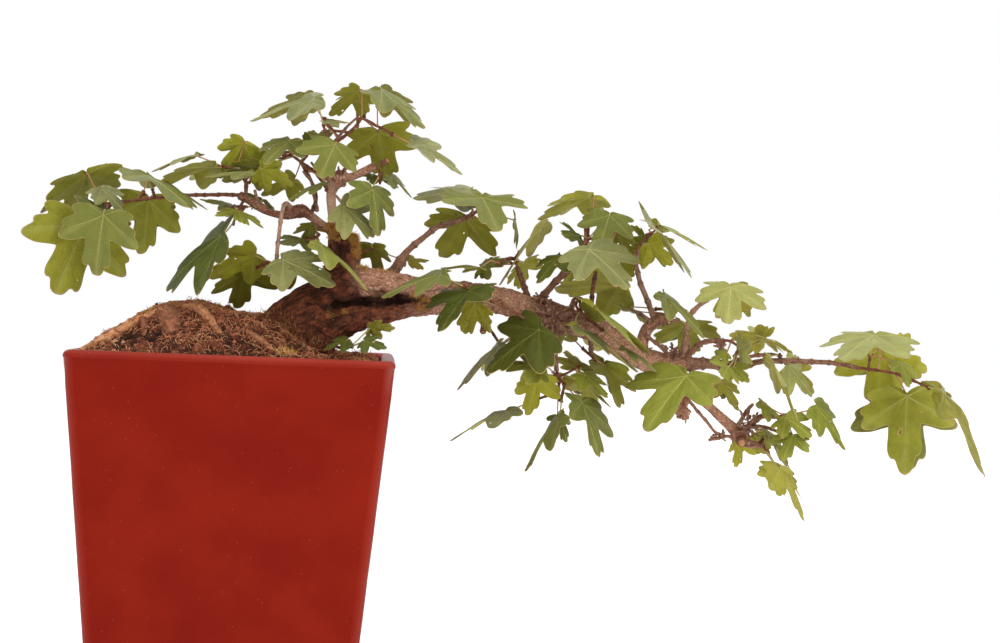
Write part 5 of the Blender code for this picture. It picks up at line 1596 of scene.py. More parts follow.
MASSES = (
    Mass("foliage_left_tip", "left_bough", 11, "mmmdmgm", (
        (-5, 0, 362.5), (-25, 2, 362), (-51, 5, 360), (-72, 8, 357), (-97, 10, 353),
    ), (
        Leaf((-107, 8, 372), (-14, 28, -29), 119),
        Leaf((-103, -14, 338), (-16, -7, -45), 158, -0.12),
        Leaf((-88, -34, 344), (-4, 4, -38), 28, 0.0),
        Leaf((-90, -26, 347), (-18, -1, 9), 65),
        Leaf((-68, 22, 358), (-3, 4, -36), -152),
        Leaf((-94, -10, 362), (16, -4, -14), -60),
        Leaf((-63, -22, 371), (31, -30, -21), -78),
    )),
    Mass("foliage_left_top", "left_bough", 12, "gffmm", (
        (-2, 1, 361), (-3, 4, 372), (-9, 5, 379), (-18, 4, 381),
    ), (
        Leaf((-37, 6, 388), (-28, 4, -12), 86),
        Leaf((-26, 14, 381), (-36, 6, -12), 102),
        Leaf((-5, 4, 397), (-14, 4, -20), 140, -0.3),
        Leaf((7, 8, 381), (-26, 8, -9), 118),
        Leaf((1, -26, 376), (-28, -3, -5), 80),
    )),
    Mass("foliage_left_low", "left_bough", 13, "dfmd", (
        (-2, -1, 361), (-6, -8, 352), (-8.5, -11, 343),
    ), (
        Leaf((-14, -30, 334), (-36, 20, -34), 68),
        Leaf((-5, -16, 351), (4, -16, -8), -40, -0.2),
        Leaf((-12, 6, 355), (-20, -4, 4), 75),
        Leaf((8, 14, 361), (-8, 14, -1), 120),
    ), 1.1),
    Mass("foliage_inner", "inner_twig", 14, "fmfdfmgm", (
        (36, 0, 381), (33, 0, 386), (27, -2, 390),
    ), (
        Leaf((2, 26, 394), (2, 12, -15), -168),
        Leaf((26, -14, 398), (-14, -17, -17), 44),
        Leaf((8, -4, 380), (21, 2, -9), -130),
        Leaf((37, 6, 395), (-2, 3, 12), 40),
        Leaf((28, 18, 375), (-21, 4, -11), 125),
        Leaf((45, 10, 401), (-10, 14, 6), 20),
        Leaf((63, -32, 356), (21, 3, -17), -52),
        Leaf((48, -24, 371), (-21, -3, -12), 78),
    ), 1.1, 0.5),
    Mass("foliage_hanging", "hanging_twig", 15, "gfm", (
        (20.7, -13, 322), (19, -14, 318.5), (14, -13, 319.5),
    ), (
        Leaf((26, -34, 320), (34, -10, -15), -56),
        Leaf((6, -10, 323), (-29, 3, -16), 125),
        Leaf((-2, 16, 311), (-5, 20, -23), 150),
    ), 1.1),
    Mass("foliage_apex", "leader", 16, "gmmgmgm", (
        (57, 0, 378), (50, 1, 385), (50, 2, 394), (58, 2, 402), (66, 2, 409), (73, 2, 418),
    ), (
        Leaf((41, -16, 426), (-41, 2, -16), 72),
        Leaf((69, 6, 435), (-19, 6, -16), 125, -0.25),
        Leaf((84, -8, 434), (30, -8, -23), -71),
        Leaf((107, -22, 398), (32, 3, -17), -72, 0.08),
        Leaf((83, 20, 410), (7, 6, -31), 185),
        Leaf((48, -4, 413), (17, 3, 0), -80),
        Leaf((56, -36, 395), (-8, -11, -22), 0, -0.2),
    )),
    Mass("foliage_stub", "leader_stub", 17, "mdm", (
        (82, -6, 385), (86, -4, 381), (86, 2, 375),
    ), (
        Leaf((81, -26, 368), (5, -9, -30), -50),
        Leaf((80, 9, 380), (18, -7, -8), -75),
        Leaf((93, 2, 379), (14, -2, -13), -72),
    ), 1.0),
    Mass("foliage_trunk_left", "trunk", 18, "fmm", (
        (54, -3, 328), (47, -10, 333), (45, -15, 336),
    ), (
        Leaf((50, -38, 330), (31, -2, -27), -82),
        Leaf((36, 4, 335), (-13, -14, -4), 60),
        Leaf((43, 11, 346), (-6, 14, -12), 140),
    ), 1.1, 0.3),
    Mass("foliage_trunk_right", "trunk", 19, "mf", (
        (66, 2, 324), (76, 9, 329), (84, 11, 332),
    ), (
        Leaf((82, 10, 333), (6, 8, -19), -135),
        Leaf((107, 11, 324), (13, -7, 1), -119),
    ), 1.1),
    Mass("foliage_rising_near", "rising_twig_near", 20, "mgmg", (
        (146, -8, 355.5), (150, -9, 358), (155, -10, 361),
    ), (
        Leaf((152, -26, 366), (9, -33, -23), -28, 0.1),
        Leaf((145, -2, 372), (-37, -13, -8), 69),
        Leaf((143, 5, 354), (-13, 22, -26), 164, -0.2),
        Leaf((175, -14, 353), (1, -10, -19), -85),
    )),
    Mass("foliage_top_stub", "top_stub", 21, "gmmf", (
        (178.5, -3, 322.5), (177, -3, 328), (179, -4, 333),
    ), (
        Leaf((192, -16, 349), (-26, 4, -39), 100),
        Leaf((154, -8, 321), (-26, 1, -1), 93),
        Leaf((155, -4, 322), (18, -10, 4), -60),
        Leaf((184, 13, 326), (-1, 15, -17), 136),
    ), 1.0),
    Mass("foliage_knot", "knot_stub", 22, "mdmsg", (
        (191, -19, 281.5), (186, -25, 286), (176, -28, 293), (167, -30, 297),
    ), (
        Leaf((127, -37, 315), (-37, 5, -15), 79),
        Leaf((145, -44, 305), (-18, -25, -26), 58, 0.05),
        Leaf((150, -26, 298), (-6, 13, -20), -150),
        Leaf((191, -41, 282), (-33, 0, -28), 52),
        Leaf((167, -16, 270), (-26, 4, -30), 83),
    ), 1.1, 0.5),
    Mass("foliage_rising_far", "rising_twig_far", 23, "fmgdfd", (
        (212, -16, 322.5), (216, -17, 329), (219, -15, 337), (225, -10, 344),
    ), (
        Leaf((226, 2, 371), (-33, 20, -15), 111),
        Leaf((237, -14, 359), (-7, -9, -22), 15, -0.2),
        Leaf((221, -41, 335), (25, -16, -24), -45),
        Leaf((204, -29, 330), (-15, -10, -18), 60),
        Leaf((225, 14, 330), (-14, 5, -17), 125),
        Leaf((218, -5, 345), (-12, -17, -1), 40),
    )),
    Mass("foliage_upright", "upright_twig", 24, "fmf", (
        (231, 0, 320), (233, 3, 327), (239, 6, 333),
    ), (
        Leaf((249, 18, 313), (-41, 17, -4), 120),
        Leaf((246, 10, 349), (9, 4, -17), -121),
        Leaf((247, 21, 338), (13, 3, -18), -135),
    ), 1.1),
    Mass("foliage_hanging_spur", "hanging_spur", 25, "ffgmmmmmf", (
        (206, -16, 255.5), (208, -17, 252), (220, -17, 258.5),
    ), (
        Leaf((193, -46, 258), (-27, -2, 1), 63),
        Leaf((192, -27, 251), (-5, 4, -25), 150, -0.4),
        Leaf((173, -20, 228), (-36, -8, -20), 88),
        Leaf((207, -29, 225), (-20, 3, -34), 88),
        Leaf((209, -4, 225), (7, 0, -17), -50),
        Leaf((221, -38, 236), (10, -14, -33), -60, 0.0),
        Leaf((222, -14, 249), (15, 16, -23), -112),
        Leaf((223, 4, 257), (-10, -15, 12), 120),
        Leaf((223, -29, 254), (14, -9, -14), -60),
    ), 1.0, 0.45),
    Mass("foliage_limb_front", "limb_spur", 26, "fgg", (
        (216, -10, 303), (219, -15, 304), (225, -20, 301),
    ), (
        Leaf((229, -29, 297), (38, 20, -28), -88),
        Leaf((218, -35, 284), (39, 2, -26), -86),
        Leaf((249, -27, 272), (21, -3, -14), -80),
    ), 1.0, 0.3),
    Mass("foliage_limb_under", "under_spur", 27, "md", (
        (231, 7, 267), (234, 9, 263),
    ), (
        Leaf((241, 14, 260), (12, 15, -29), -113, 0.1),
        Leaf((213, 19, 281), (-6, 12, -20), 130),
    ), 1.0),
    Mass("foliage_thin_bough", "thin_bough", 28, "gffm", (
        (258, 0, 337), (261, 1, 342), (266, 2, 347), (271, 2, 352),
    ), (
        Leaf((267, -14, 352), (20, -30, -32), -80, -0.04),
        Leaf((274, 4, 355), (35, 14, -15), -85),
        Leaf((266, 0, 342), (17, 2, -13), -140),
        Leaf((266, 7, 343), (-10, 15, 0), 150),
    ), 1.0, 0.7),
    Mass("foliage_fork", "fork_twig", 29, "pp", (
        (314, 0, 312), (318, 0, 315),
    ), (
        Leaf((319, -18, 315), (-6, -20, -24), 15),
        Leaf((328, 7, 316), (10, 2, -20), -124),
    ), 1.1, 1.0),
    Mass("foliage_junction", "stub_branch", 30, "mmm", (
        (278, -1, 293.5), (281, -5, 299), (279, -12, 303),
    ), (
        Leaf((274, -26, 307), (26, -7, -26), -70),
        Leaf((297, 22, 289), (8, 20, -21), -160),
        Leaf((258, 8, 298), (13, 14, -10), -100),
    ), 1.2, 0.6),
    Mass("foliage_short_twig", "short_twig", 31, "ppfpff", (
        (318, -4, 279.5), (323, -5, 279), (330, -6, 275),
    ), (
        Leaf((344, -8, 282), (-24, -5, 2), 127),
        Leaf((344, -4, 282), (19, -8, -8), -95),
        Leaf((317, -21, 271), (-11, 1, -6), 58),
        Leaf((327, -14, 274), (5, -14, 6), -40),
        Leaf((319, -18, 262), (-6, -13, -6), 10),
        Leaf((324, -13, 262), (9, -8, -9), -20),
    ), 1.1, 0.6),
    Mass("foliage_big_leaf", "hanging_knob", 32, "fmm", (
        (291, -8, 232), (292, -15, 239), (291, -22, 246),
    ), (
        Leaf((287, -44, 256), (-28, -20, -35), 50, 0.0),
        Leaf((317, -7, 251), (13, 3, -18), -118),
        Leaf((317, 11, 234), (2, 10, -20), -130),
    ), 1.1, 0.7),
    Mass("foliage_end", "end_branch", 33, "pffmfg", (
        (411, 0, 264.5), (425, 0, 263.5), (437, -2, 262),
    ), (
        Leaf((415, -22, 287), (-29, -28, -17), 66),
        Leaf((434, 9, 271), (29, 4, -6), 172, -0.1),
        Leaf((428, 12, 277), (4, 4, -41), -148),
        Leaf((443, -8, 247), (2, 3, -53), 170, holes=((-8, 0, 1.4, True),)),
        Leaf((433, -25, 269), (3, -9, -15), -35),
        Leaf((455, -48, 251), (31, 5, -52), -84),
    ), 1.2, 0.75),
    Mass("foliage_second", "second_twig", 34, "pp", (
        (351, -5, 271.6), (356, -6, 271),
    ), (
        Leaf((347, -20, 267), (18, -8, -38), -85),
        Leaf((362, -7, 264), (19, 7, -20), -50),
    ), 1.0, 0.8),
    Mass("foliage_lower_tip", "lower_twig", 35, "ffff", (
        (357, -4, 230), (362, -5, 231.5),
    ), (
        Leaf((382, -10, 237), (20, -1, -27), -58),
        Leaf((343, -15, 239), (17, -2, -14), -70),
        Leaf((359, -19, 230), (15, -11, -11), -40),
        Leaf((362, -28, 219), (-8, -7, -16), 36),
    ), 1.0),
    Mass("foliage_lower_drop", "drop_twig", 36, "fffmm", (
        (347, -5, 209.5), (351, -5, 206),
    ), (
        Leaf((359, -8, 195), (18, 3, -34), -98),
        Leaf((360, 3, 195), (4, 10, -20), -130),
        Leaf((335, 6, 213), (-3, 3, -19), 140, -0.2),
        Leaf((343, 11, 215), (14, 12, -12), -140),
        Leaf((348, -12, 220), (17, -2, -25), -82),
    ), 1.0, 0.6),
    Mass("foliage_foot", "trunk", 37, "sdm", (
        (52, -10, 268), (64, -36, 266), (72, -52, 267),
    ), (
        Leaf((69, -61, 271), (-14, -3, -6), 65),
        Leaf((80, -60, 271), (14, -5, -4), -50),
        Leaf((83, -40, 279), (16, 1, 1), -120),
    ), 1.1, 0.5),
)


def tree_of(points: Array, faces: Iterable[Sequence[int]]) -> BVHTree:
    """A search tree that tells where this shape meets another."""
    corners = [tuple(int(i) for i in face) for face in faces]
    return BVHTree.FromPolygons([Vector(point) for point in points], corners)


def plain_tube(points: Array, sides: int, grow: float = 0.0) -> tuple[Array, list[tuple[int, ...]]]:
    """The flat-ended tube of the solids round a path with radii, `grow` larger all round."""
    centres, radii = points[:, :3].copy(), points[:, 3] + grow
    centres[0] += unit(centres[0] - centres[1]) * grow
    centres[-1] += unit(centres[-1] - centres[-2]) * grow
    made, faces = tubes(centres[None], radii[None], sides)
    rings = len(points)
    made = made[: rings * sides]
    kept = [tuple(face) for face in faces[: (rings - 1) * sides]]
    return made, kept + [tuple(reversed(range(sides))), tuple(range((rings - 1) * sides, rings * sides))]


def blade_frame(leaf: Leaf) -> tuple[float, Array, Array, Array]:
    """The blade's length and its axes: along the middle lobe, to the right, and out of the upper side."""
    reach = np.array(leaf.reach, float)
    length = float(np.linalg.norm(reach))
    along = reach / length
    front = unit(FRONT - along * (FRONT @ along))
    roll = math.radians(leaf.roll)
    upper = math.cos(roll) * front + math.sin(roll) * np.cross(along, front)
    return length, along, np.cross(along, upper), upper


def solid_blade(leaf: Leaf, grow: float = 0.0) -> tuple[Array, list[tuple[int, int, int]]]:
    """The blade of the solids: a thin lens in their coarse outline, folded and arched along the midrib."""
    length, along, right, upper = blade_frame(leaf)
    half = [(math.radians(angle), share) for angle, share in SOLID_OUTLINE]
    outline = half + [(-angle, share) for angle, share in reversed(half[1:-1])]
    heart = np.array(leaf.heart, float)
    points = []
    for angle, share in outline:
        reach = share * (length + 2 * grow)
        ahead, out = reach * math.cos(angle), reach * math.sin(angle)
        lift = leaf.fold * abs(out) + BLADE_ARCH * max(ahead, 0) * (1 - ahead / length)
        points.append(heart + along * ahead + right * out + upper * lift)
    count, thick = len(outline), BLADE_THICK / 2 + grow
    middle = heart + (along * BLADE_MIDDLE + upper * BLADE_ARCH * BLADE_MIDDLE * (1 - BLADE_MIDDLE)) * length
    points += [middle + upper * thick, middle - upper * thick]
    faces = [(i, (i + 1) % count, count) for i in range(count)]
    faces += [((i + 1) % count, i, count + 1) for i in range(count)]
    return np.array(points), faces


def twig_route(start: Array, leaf: Leaf, bow: Array | None) -> Array:
    """Centres and radii of a leaf's own twig, if it stands out of a stalk's reach, and of its stalk.

    Args:
        start: The node that it grows from.
        leaf: The leaf.
        bow: How far both bend, as a share of their length, or None where they are straight.

    Returns:
        Rows of (x, y, z, radius).
    """
    heart = np.array(leaf.heart, float)
    along = unit(np.array(leaf.reach, float))
    distance = np.linalg.norm(heart - start)
    route = [(*start, STALK_RADIUS)]
    if distance > STALK_REACH:
        route = [(*start, TWIG_RADIUS)]
        end = start + (heart - start) * (1 - 0.75 * STALK_REACH / distance)
        if bow is not None:
            route.append((*((start + end) / 2 + bow * 0.5 * np.linalg.norm(end - start)), TWIG_RADIUS))
        route.append((*end, 0.85 * TWIG_RADIUS))
        start = end
    if bow is not None:
        route.append((*((start + heart) / 2 + bow * 0.5 * np.linalg.norm(heart - start)), STALK_RADIUS))
    if unit(heart - route[-1][:3]) @ along < KNEE_FROM:
        route.append((*(heart - along * KNEE), STALK_RADIUS))
    return np.array([*route, (*heart, STALK_RADIUS)])


class Growth:
    """Grows one mass by the rule of the solids: each leaf that keeps clear gets a twig and a stalk."""

    def __init__(self, mass: Mass, fixed: list[BVHTree]) -> None:
        """Starts a mass.

        Args:
            mass: Its row.
            fixed: Search trees of the wood and of the masses before it.
        """
        self.mass = mass
        self.fixed = fixed
        self.random = random.Random(mass.seed)
        self.leaves: list[tuple[Leaf, Array]] = []
        self.blades: list[BVHTree] = []
        last = len(mass.stem) - 1
        stem = [(*place, mass.stem_radius * (1 - 0.3 * i / last)) for i, place in enumerate(mass.stem)]
        self.stem = smooth_path(stem, 9.0)
        end, before = self.stem[-1, :3], self.stem[-2, :3]
        self.nodes = [point[:3] for point in self.stem[1:-1]] + [end + unit(before - end) * STEM_RADIUS]

    def place(self, leaf: Leaf) -> Leaf | None:
        """The leaf, moved along the line of sight in small steps until its blade keeps clear, or None."""
        heart = np.array(leaf.heart, float)
        sight = unit(heart - VIEWPOINT)
        outwards = -1 if heart[1] < 0 else 1
        for step in range(CLEAR_TRIES):
            for way in (outwards, -outwards)[: 1 if step == 0 else 2]:
                moved = replace(leaf, heart=tuple(heart + sight * way * CLEAR_STEP * step))
                tree = tree_of(*solid_blade(moved, CLEAR_OF_BLADE))
                if not any(tree.overlap(other) for other in self.fixed + self.blades):
                    return moved
        return None

    def route(self, leaf: Leaf) -> Array | None:
        """The first route to this leaf, from the nodes nearest to it, that keeps clear, or None."""
        heart = np.array(leaf.heart, float)
        nodes = sorted(self.nodes, key=lambda node: np.linalg.norm(node - heart))[:NODE_TRIES]
        for obstacles in (self.fixed + self.blades, self.fixed):
            for node in nodes:
                for bow in BOWS:
                    points = twig_route(node, leaf, bow)
                    tree = tree_of(*plain_tube(points, 3, GAP))
                    if not any(tree.overlap(other) for other in obstacles):
                        return points
        return None

    def add(self, leaf: Leaf) -> None:
        """Grows the leaf with its twig and stalk. A leaf that can't keep clear is skipped."""
        placed = self.place(leaf)
        points = None if placed is None else self.route(placed)
        if placed is None or points is None:
            return
        self.leaves.append((placed, points))
        self.blades.append(tree_of(*solid_blade(placed)))
        twig = points[points[:, 3] > STALK_RADIUS, :3]
        if len(twig):
            self.nodes += [twig[-1], twig[1] if len(twig) > 2 else (twig[0] + twig[1]) / 2]

    def fellow(self, leaf: Leaf) -> Leaf:
        """The leaf that stands behind this one on the line of sight and faces the back of the tree."""
        size = self.random.uniform(*FELLOW_SIZES)
        back = self.random.uniform(*FELLOW_DEPTHS)
        heart = np.array(leaf.heart, float)
        reach = np.array(leaf.reach, float)
        moved = heart + reach * (1 - size) * 0.4 + unit(heart - VIEWPOINT) * back
        return replace(leaf, heart=tuple(moved), reach=tuple(reach * size * (1, -1, 1)), roll=180 - leaf.roll)

    def grow(self) -> None:
        """Grows every leaf of the mass, nearest first, and then the fellows behind them."""
        start = np.array(self.mass.stem[0], float)
        dealt = zip(self.mass.leaves, self.mass.tints, strict=True)
        leaves = [replace(leaf, tint=Tint(letter)) for leaf, letter in dealt]
        leaves.sort(key=lambda leaf: np.linalg.norm(np.array(leaf.heart) - start))
        for leaf in leaves:
            self.add(leaf)
        for leaf in leaves:
            if self.random.random() < self.mass.fellows:
                self.add(self.fellow(leaf))

    def trees(self) -> list[BVHTree]:
        """Search trees of everything grown, for the masses that follow."""
        made = [tree_of(*plain_tube(self.stem, STEM_SIDES))]
        for leaf, points in self.leaves:
            made += [tree_of(*solid_blade(leaf)), tree_of(*plain_tube(points, 3))]
        return made


class BladeShape:
    """One leaf's blade in its fine outline, with its lobes, folds, veins, holes and spots.

    The rings lie at shares of the way to the edge. The veins' turns are in degrees, their reach and the
    places of their branches are shares, and their half widths are in mm on a blade of the usual length.
    The hole's rings are in radii of the hole.
    """

    SPOKES = 4 * (len(LEAF_OUTLINE) - 1)
    RINGS = (0.0, 0.34, 0.7, 0.98, 1.0)
    VEINS = (0.0, 60.0, -60.0, 112.0, -112.0)
    VEIN_WIDTHS = (0.5, 0.44, 0.44, 0.34, 0.34)
    VEIN_REACH = 0.93
    VEIN_RISE = 0.29
    BRANCHES = (0.28, 0.48, 0.68)
    BRANCH_TURN, BRANCH_BEND = math.radians(38), math.radians(10)
    USUAL_LENGTH = 46
    THICK = 0.42
    HOLE_RINGS = (2.1, 1.0)

    def __init__(self, leaf: Leaf, seed: int) -> None:
        """Draws the leaf's own shape.

        Args:
            leaf: Its row.
            seed: Which lobes, waves and holes it gets.
        """
        self.chance = np.random.default_rng(seed)
        self.leaf = leaf
        self.length, self.along, self.right, self.upper = blade_frame(leaf)
        self.heart = np.array(leaf.heart, float)
        self.angles, self.shares = self.outline()
        self.waves = self.chance.uniform(0, math.tau, 3)
        self.ripple = self.chance.uniform(0.6, 1.3)
        self.tone = self.chance.uniform(0, 1)

    def outline(self) -> tuple[Array, Array]:
        """The outline about the heart: a smooth closed curve through the named points, read by angle.

        Each named point is share * (cos, sin) of its angle, where the share swells and shrinks by
        0.035 * sin(5a) + 0.02 * sin(9a) with a random start, and the lobes of one side are a few per cent
        longer than those of the other. The notches between the lobes are filled by up to 0.45 of what they
        lack to 0.62. The curve gives two points for each named one.

        Returns:
            Angles in rising order and the shares of the length there.
        """
        right = np.array(LEAF_OUTLINE, float)
        left = right[-2:0:-1] * (-1, 1)
        points = np.vstack((right, left))
        angle = np.radians(points[:, 0])
        first, second = self.chance.uniform(0, math.tau, 2)
        own = 1 + 0.035 * np.sin(5 * angle + first) + 0.02 * np.sin(9 * angle + second)
        swell = np.sin(np.minimum(np.abs(angle) * 1.4, math.pi))
        lobes = 1 + np.where(angle > 0, *self.chance.normal(0, 0.06, 2)) * swell
        fill = self.chance.uniform(0, 0.45) * (np.abs(points[:, 0]) < 92)
        share = (points[:, 1] + fill * np.clip(0.62 - points[:, 1], 0, 1)) * own * lobes
        share /= share[0]
        x, y = smooth_loop(np.stack((share * np.cos(angle), share * np.sin(angle)), 1), 2).T
        found = np.arctan2(y, x)
        order = np.argsort(found)
        return found[order], np.hypot(x, y)[order]

    def edge(self, angle: Array) -> Array:
        """The outline's share of the length at any angle."""
        return np.interp(angle, self.angles, self.shares, period=math.tau)

    def between(self, angle: Array) -> Array:
        """Share of the way, from 0 to 1, from one main vein to the next."""
        veins = np.radians(np.sort(np.array(self.VEINS + (180.0, -180.0))))
        low = np.clip(np.searchsorted(veins, angle, side="right") - 1, 0, len(veins) - 2)
        return (angle - veins[low]) / (veins[low + 1] - veins[low])

    def lift(self, ahead: Array, out: Array) -> Array:
        """Height above the leaf's plane, all in shares of its length.

        It is fold * |out| + arch * ahead * (1 - ahead), with quilting between the main veins,
        0.085 * sin(pi * t)^2 * s * (1 - 0.6 * s), and slow waves of the margin that grow with s^2. Here s is
        the share of the way to the edge, and t the share of the way from vein to vein.
        """
        angle = np.arctan2(out, ahead)
        reach = np.hypot(ahead, out)
        share = reach / np.maximum(self.edge(angle), TINY)
        quilt = 0.085 * np.sin(math.pi * self.between(angle)) ** 2 * share * (1 - 0.6 * share)
        wave = 0.022 * np.sin(3 * angle + self.waves[0]) + 0.016 * np.sin(7 * angle + self.waves[1])
        tip = np.clip(1 - np.abs(angle) / 0.25, 0, 1)
        wave = wave * self.ripple * share**2 * (1 - tip)
        droop = -0.05 * np.clip(reach - 0.55, 0, 1) * (1 - tip)
        arch = BLADE_ARCH * np.clip(ahead, 0, 1) * (1 - ahead)
        return self.leaf.fold * np.abs(out) + arch + quilt + wave + droop

    def at(self, ahead: Array, out: Array, above: Array | float = 0.0) -> Array:
        """World places in mm of points of the blade, `above` mm over its middle surface."""
        rise = self.lift(ahead, out) * self.length + above
        flat = self.along * ahead[..., None] + self.right * out[..., None]
        return self.heart + flat * self.length + self.upper * rise[..., None]

    def grid(self) -> tuple[Array, Array, Array, Array]:
        """The two layers of the blade, which share their rim.

        Ring r of a layer is at share r of the outline. The faces' kinds are 0 for the upper side, 1 for the
        underside, 2 for the margin and 3 for a spot round a hole.

        Returns:
            Points, faces, kinds, and marks: share of the way to the edge, tone, and nearness to a main vein.
        """
        rings = np.array(self.RINGS)[1:-1]
        ahead = self.shares * np.cos(self.angles)
        out = self.shares * np.sin(self.angles)
        thick = self.THICK / 2 * (1 - 0.6 * rings**2)
        layers = []
        for side in (1, -1):
            layer = self.at(rings[:, None] * ahead, rings[:, None] * out, side * thick[:, None])
            layers.append(layer.reshape(-1, 3))
        centres = self.heart + self.upper * np.array((1, -1))[:, None] * self.THICK / 2
        points = np.vstack((*layers, self.at(ahead, out), centres))
        count, inner = self.SPOKES, len(rings)
        share = np.concatenate((np.tile(np.repeat(rings, count), 2), np.ones(count), (0, 0)))
        vein = np.abs(self.between(self.angles) * 2 - 1)
        vein = np.concatenate((np.tile(vein, 2 * inner + 1), (1, 1)))
        marks = np.stack((share, np.full(len(share), self.tone), vein), 1)
        j = np.arange(count)
        after = (j + 1) % count
        rim = 2 * inner * count
        faces, kinds = [], []
        for layer in (0, 1):
            base = layer * inner * count
            pole = np.full(count, rim + count + layer)
            fan = np.stack((pole, base + j, base + after, np.full(count, -1)), 1)
            rows = [base + i * count for i in range(inner)] + [rim]
            pairs = zip(rows, rows[1:])
            bands = [np.stack((low + j, high + j, high + after, low + after), 1) for low, high in pairs]
            if layer == 1:
                fan = fan[:, (0, 2, 1, 3)]
                bands = [band[:, ::-1] for band in bands]
            faces += [fan, *bands]
            kinds += [np.full(count * inner, layer), np.full(count, 2)]
        return self.holed(points, np.vstack(faces), np.concatenate(kinds), marks)

    def hole_rows(self) -> list[tuple[float, int, float, bool]]:
        """The leaf's holes, its own and some by chance, as (degrees, ring, radius in mm, has a dead spot)."""
        rows = list(self.leaf.holes)
        for i in range(int(self.chance.choice((0, 0, 0, 1, 2, 3)))):
            angle = self.chance.choice((-1, 1)) * (14 + 24 * i + self.chance.uniform(0, 12))
            spotted = bool(self.chance.random() < 0.35)
            rows.append((angle, int(self.chance.integers(0, 2)), self.chance.uniform(0.35, 0.85), spotted))
        return rows

    def hole_spokes(self, degrees: float, ring: int, radius: float) -> Array:
        """Numbers of the spokes that bound and cross the block of cells which a hole takes."""
        angle = math.radians(degrees)
        edge = float(self.edge(np.array([angle]))[0])
        half = 2.4 * radius / (sum(self.RINGS[ring + 1 : ring + 3]) / 2 * self.length * edge)
        low, high = np.searchsorted(self.angles, (angle - half, angle + half))
        return np.arange(low - 2, max(high, low + 2) + 1) % self.SPOKES

    def hole_rings(self, border: Array, radius: float) -> list[Array]:
        """Points round a hole, for each border point seen from the middle, at each share of the radius."""
        middle = border.mean(axis=0)
        away = border - middle
        reach = np.linalg.norm(away, axis=1)
        size = min(radius, 0.45 * reach.min())
        return [middle + away / reach[:, None] * size * share for share in self.HOLE_RINGS]

    def holed(
        self, points: Array, faces: Array, kinds: Array, marks: Array
    ) -> tuple[Array, Array, Array, Array]:
        """Eats small round holes through the blade, some with a spot of dead tissue round them.

        A hole takes a block of cells out of both layers. Each border point of the block, seen from its
        middle, gives one point at 2.1 and one at 1.0 times the hole's radius. Bands join the border to
        these rings, and a wall joins the edges of the two layers.

        Args:
            points: The blade's points.
            faces: Its faces.
            kinds: Their kinds.
            marks: The points' marks.

        Returns:
            The same with the holes in.
        """
        count, inner = self.SPOKES, len(self.RINGS) - 2
        keep = np.ones(len(faces), bool)
        more_points, more_faces, more_kinds = [points], [], []
        start = len(points)
        for degrees, ring, radius, spotted in self.hole_rows():
            spokes = self.hole_spokes(degrees, ring, radius)
            cells = count + ring * count + spokes[:-1]
            if not keep[cells].all():
                continue
            edges = []
            for layer in (0, 1):
                keep[layer * count * (inner + 1) + cells] = False
                low = layer * inner * count + ring * count
                rows = [np.concatenate((low + count + spokes, low + spokes[::-1]))]
                for circle in self.hole_rings(points[rows[0]], radius):
                    more_points.append(circle)
                    rows.append(start + np.arange(len(circle)))
                    start += len(circle)
                for number, (outer, within) in enumerate(zip(rows, rows[1:])):
                    band = band_between(outer, within)
                    more_faces.append(band if layer == 0 else band[:, ::-1])
                    more_kinds.append(np.full(len(outer), 3 if spotted and number else layer))
                edges.append(rows[-1])
            more_faces.append(band_between(*edges))
            more_kinds.append(np.full(len(edges[0]), 2))
        marks = np.vstack((marks, np.tile((0.5, self.tone, 0.3), (start - len(points), 1))))
        faces, kinds = np.vstack((faces[keep], *more_faces)), np.concatenate((kinds[keep], *more_kinds))
        return np.vstack(more_points), faces, kinds.astype(int), marks

    def main_veins(self) -> tuple[Array, Array]:
        """The five main veins: thin bars that lie in the blade from the heart to 0.93 of the edge."""
        t = np.linspace(0, 1, 7)[None, :]
        angle = np.radians(self.VEINS)[:, None]
        width = np.array(self.VEIN_WIDTHS)[:, None]
        turn = angle + math.radians(4) * np.sin(t * 2) * np.sign(angle)
        reach = self.VEIN_REACH * self.edge(angle) * t
        return self.bars(reach * np.cos(turn), reach * np.sin(turn), width * (1 - 0.72 * t))

    def side_veins(self) -> tuple[Array, Array]:
        """The branches of the three larger veins.

        A branch starts at its share of the vein, goes off by 38 degrees and bends back towards the tip.
        """
        t = np.linspace(0, 1, 4)
        rows, widths = [], []
        for angle in np.radians(self.VEINS[:3]):
            reach = self.VEIN_REACH * float(self.edge(np.array([angle]))[0])
            for side in (-1, 1):
                for share in self.BRANCHES:
                    turn = angle + side * (self.BRANCH_TURN - self.BRANCH_BEND * t)
                    foot = np.array((math.cos(angle), math.sin(angle))) * reach * share
                    length = reach * 0.34 * (1.15 - 0.75 * share) * t
                    branch = foot + np.stack((np.cos(turn), np.sin(turn)), 1) * length[:, None]
                    beyond = np.hypot(*branch.T) / self.edge(np.arctan2(branch[:, 1], branch[:, 0]))
                    rows.append(foot + (branch - foot) * (0.6 if beyond.max() > 0.94 else 1.0))
                    widths.append(0.25 * (1 - 0.65 * t))
        rows = np.array(rows)
        return self.bars(rows[..., 0], rows[..., 1], np.array(widths))

    def bars(self, ahead: Array, out: Array, widths: Array) -> tuple[Array, Array]:
        """Diamond bars that stand a little out of both sides of the blade.

        Args:
            ahead: Their paths along the middle lobe, in shares of the blade's length, as (bars, points).
            out: Their paths to the right.
            widths: Half widths in mm on a blade of the usual length.

        Returns:
            Points and faces.
        """
        paths = self.at(ahead, out)
        radii = widths * self.length / self.USUAL_LENGTH
        height = np.maximum(self.VEIN_RISE, radii * 0.75) * np.linspace(1, 0.8, paths.shape[1])
        around = np.stack((height, radii, height, radii), 2)
        return tubes(paths, around, 4, np.tile(self.upper, (len(paths), 1)))


